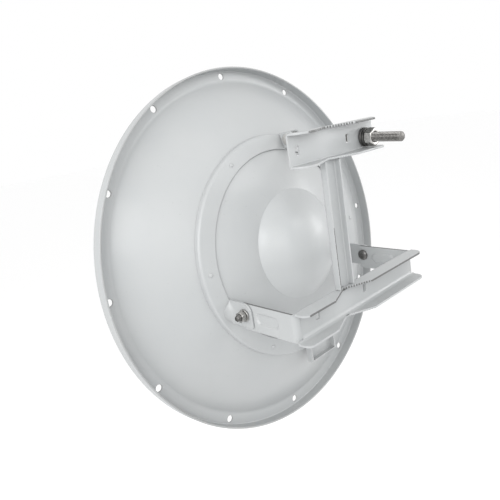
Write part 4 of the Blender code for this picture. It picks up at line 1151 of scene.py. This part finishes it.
def make_stage(stage):
    floor = bmesh.new()
    bmesh.ops.create_grid(floor, x_segments=1, y_segments=1, size=FLOOR_HALF_WIDTH)
    bmesh.ops.translate(floor, verts=floor.verts, vec=(0, 0, -stage.floor_drop))
    mesh = bpy.data.meshes.new("studio_floor")
    floor.to_mesh(mesh)
    floor.free()
    ground = bpy.data.objects.new("studio_floor", mesh)
    bpy.context.scene.collection.objects.link(ground)
    card = Finish("floor_card", 0.85, 0.0)
    card.finish((*stage.floor, 1))
    mesh.materials.append(card.material)

    world = bpy.data.worlds.new("studio_light")
    world.use_nodes = True
    sky = world.node_tree.nodes["Background"]
    sky.inputs["Color"].default_value = (1, 1, 1, 1)
    sky.inputs["Strength"].default_value = stage.sky
    bpy.context.scene.world = world

    for name, spot, size in LAMPS:
        lamp = bpy.data.lights.new(name + "_light", "AREA")
        lamp.shape = "SQUARE"
        lamp.size = size
        lamp.energy = getattr(stage, name)
        lamp.spread = LAMP_SPREAD
        item = bpy.data.objects.new(name + "_light", lamp)
        item.location = spot
        item.rotation_euler = (LAMP_AIM - Vector(spot)).to_track_quat("-Z", "Y").to_euler()
        bpy.context.scene.collection.objects.link(item)

    view = bpy.data.cameras.new("camera")
    view.lens, view.sensor_width = CAMERA_LENS, CAMERA_SENSOR
    view.shift_x, view.shift_y = CAMERA_SHIFT
    view.clip_start, view.clip_end = 0.01, 100.0
    camera = bpy.data.objects.new("camera", view)
    camera.location = CAMERA_PLACE
    camera.rotation_euler = [math.radians(angle) for angle in CAMERA_TURN]
    bpy.context.scene.collection.objects.link(camera)
    bpy.context.scene.camera = camera
    bpy.context.scene.view_settings.view_transform = "Standard"


# ---- operators

class DISH_OT_reflector(bpy.types.Operator):
    """Adds the pressed reflector with its rim holes"""
    bl_idname = "dish.reflector"
    bl_label = "Reflector"

    def execute(self, context):
        make_reflector(context.scene.dish_sizes, context.scene.dish_finishes)
        return {"FINISHED"}


class DISH_OT_ring(bpy.types.Operator):
    """Adds the mounting ring and its rivets"""
    bl_idname = "dish.ring"
    bl_label = "Mounting ring"

    def execute(self, context):
        make_ring(context.scene.dish_sizes, context.scene.dish_finishes)
        return {"FINISHED"}


class DISH_OT_cover(bpy.types.Operator):
    """Adds the domed cover in the middle of the back"""
    bl_idname = "dish.cover"
    bl_label = "Domed cover"

    def execute(self, context):
        make_cover(context.scene.dish_sizes, context.scene.dish_finishes)
        return {"FINISHED"}


class DISH_OT_feed(bpy.types.Operator):
    """Adds the feed inside the bowl"""
    bl_idname = "dish.feed"
    bl_label = "Feed"

    def execute(self, context):
        make_feed(context.scene.dish_sizes, context.scene.dish_finishes)
        return {"FINISHED"}


class DISH_OT_bracket(bpy.types.Operator):
    """Adds the pole bracket: yoke, upper channel and post"""
    bl_idname = "dish.bracket"
    bl_label = "Pole bracket"

    def execute(self, context):
        sizes, settings = context.scene.dish_bracket, context.scene.dish_finishes
        # Bracket coat whose cut edges are darkened as painted shade over bare steel.
        coat = powder_coat("bracket_powder_coat", settings.paint, settings, edge_wear_and_shade(sizes),
                           EDGE_SHADE_TONE, EDGE_SHARE)
        make_yoke(sizes, coat)
        make_upper_channel(sizes, coat)
        make_post(sizes, coat)
        return {"FINISHED"}


class DISH_OT_ring_brackets(bpy.types.Operator):
    """Adds the pivot lugs and the two brackets on the ring"""
    bl_idname = "dish.ring_brackets"
    bl_label = "Lugs and clevises"

    def execute(self, context):
        settings = context.scene.dish_finishes
        coat = powder_coat("lug_powder_coat", settings.paint, settings)
        dish, sizes = context.scene.dish_sizes, context.scene.dish_bracket
        make_lugs(dish, sizes, coat)
        make_top_clevis(dish, sizes, coat)
        make_bottom_bracket(dish, sizes, coat)
        return {"FINISHED"}


class DISH_OT_pivots(bpy.types.Operator):
    """Adds the pivot bolts with their washers and nuts"""
    bl_idname = "dish.pivots"
    bl_label = "Pivot bolts"

    def execute(self, context):
        scene = context.scene
        make_pivots(scene.dish_bracket, scene.dish_fasteners, scene.dish_finishes)
        return {"FINISHED"}


class DISH_OT_adjuster(bpy.types.Operator):
    """Adds the threaded adjuster rod with its pin, nuts and washers"""
    bl_idname = "dish.adjuster"
    bl_label = "Adjuster"

    def execute(self, context):
        sizes, settings = context.scene.dish_fasteners, context.scene.dish_finishes
        make_pin(sizes, settings)
        make_rod(sizes, settings)
        make_rod_nuts(context.scene.dish_bracket, sizes, settings)
        return {"FINISHED"}


class DISH_OT_stage(bpy.types.Operator):
    """Adds the floor, the lights and the camera"""
    bl_idname = "dish.stage"
    bl_label = "Stage"

    def execute(self, context):
        make_stage(context.scene.dish_stage)
        return {"FINISHED"}


STEPS = (DISH_OT_reflector, DISH_OT_ring, DISH_OT_cover, DISH_OT_feed, DISH_OT_bracket,
         DISH_OT_ring_brackets, DISH_OT_pivots, DISH_OT_adjuster, DISH_OT_stage)
GROUPS = (("dish_sizes", DishSizes), ("dish_bracket", BracketSizes),
          ("dish_fasteners", FastenerSizes), ("dish_finishes", FinishSettings),
          ("dish_stage", StageSettings))


class DISH_PT_panel(bpy.types.Panel):
    """Sizes, finishes and steps of the dish antenna"""
    bl_idname = "DISH_PT_panel"
    bl_label = "Dish antenna"
    bl_space_type = "VIEW_3D"
    bl_region_type = "UI"
    bl_category = "Dish"

    def draw(self, context):
        for name, group in GROUPS:
            box = self.layout.box()
            box.label(text=group.__doc__)
            for key in group.__annotations__:
                box.prop(getattr(context.scene, name), key)
        for step in STEPS:
            self.layout.operator(step.bl_idname)


def register():
    for name, group in GROUPS:
        bpy.utils.register_class(group)
        setattr(bpy.types.Scene, name, PointerProperty(type=group))
    for item in STEPS + (DISH_PT_panel,):
        bpy.utils.register_class(item)


def unregister():
    for item in (DISH_PT_panel,) + STEPS[::-1]:
        bpy.utils.unregister_class(item)
    for name, group in GROUPS[::-1]:
        delattr(bpy.types.Scene, name)
        bpy.utils.unregister_class(group)


def main():
    register()
    for step in STEPS:
        group, name = step.bl_idname.split(".")
        getattr(getattr(bpy.ops, group), name)()


if __name__ == "__main__":
    main()
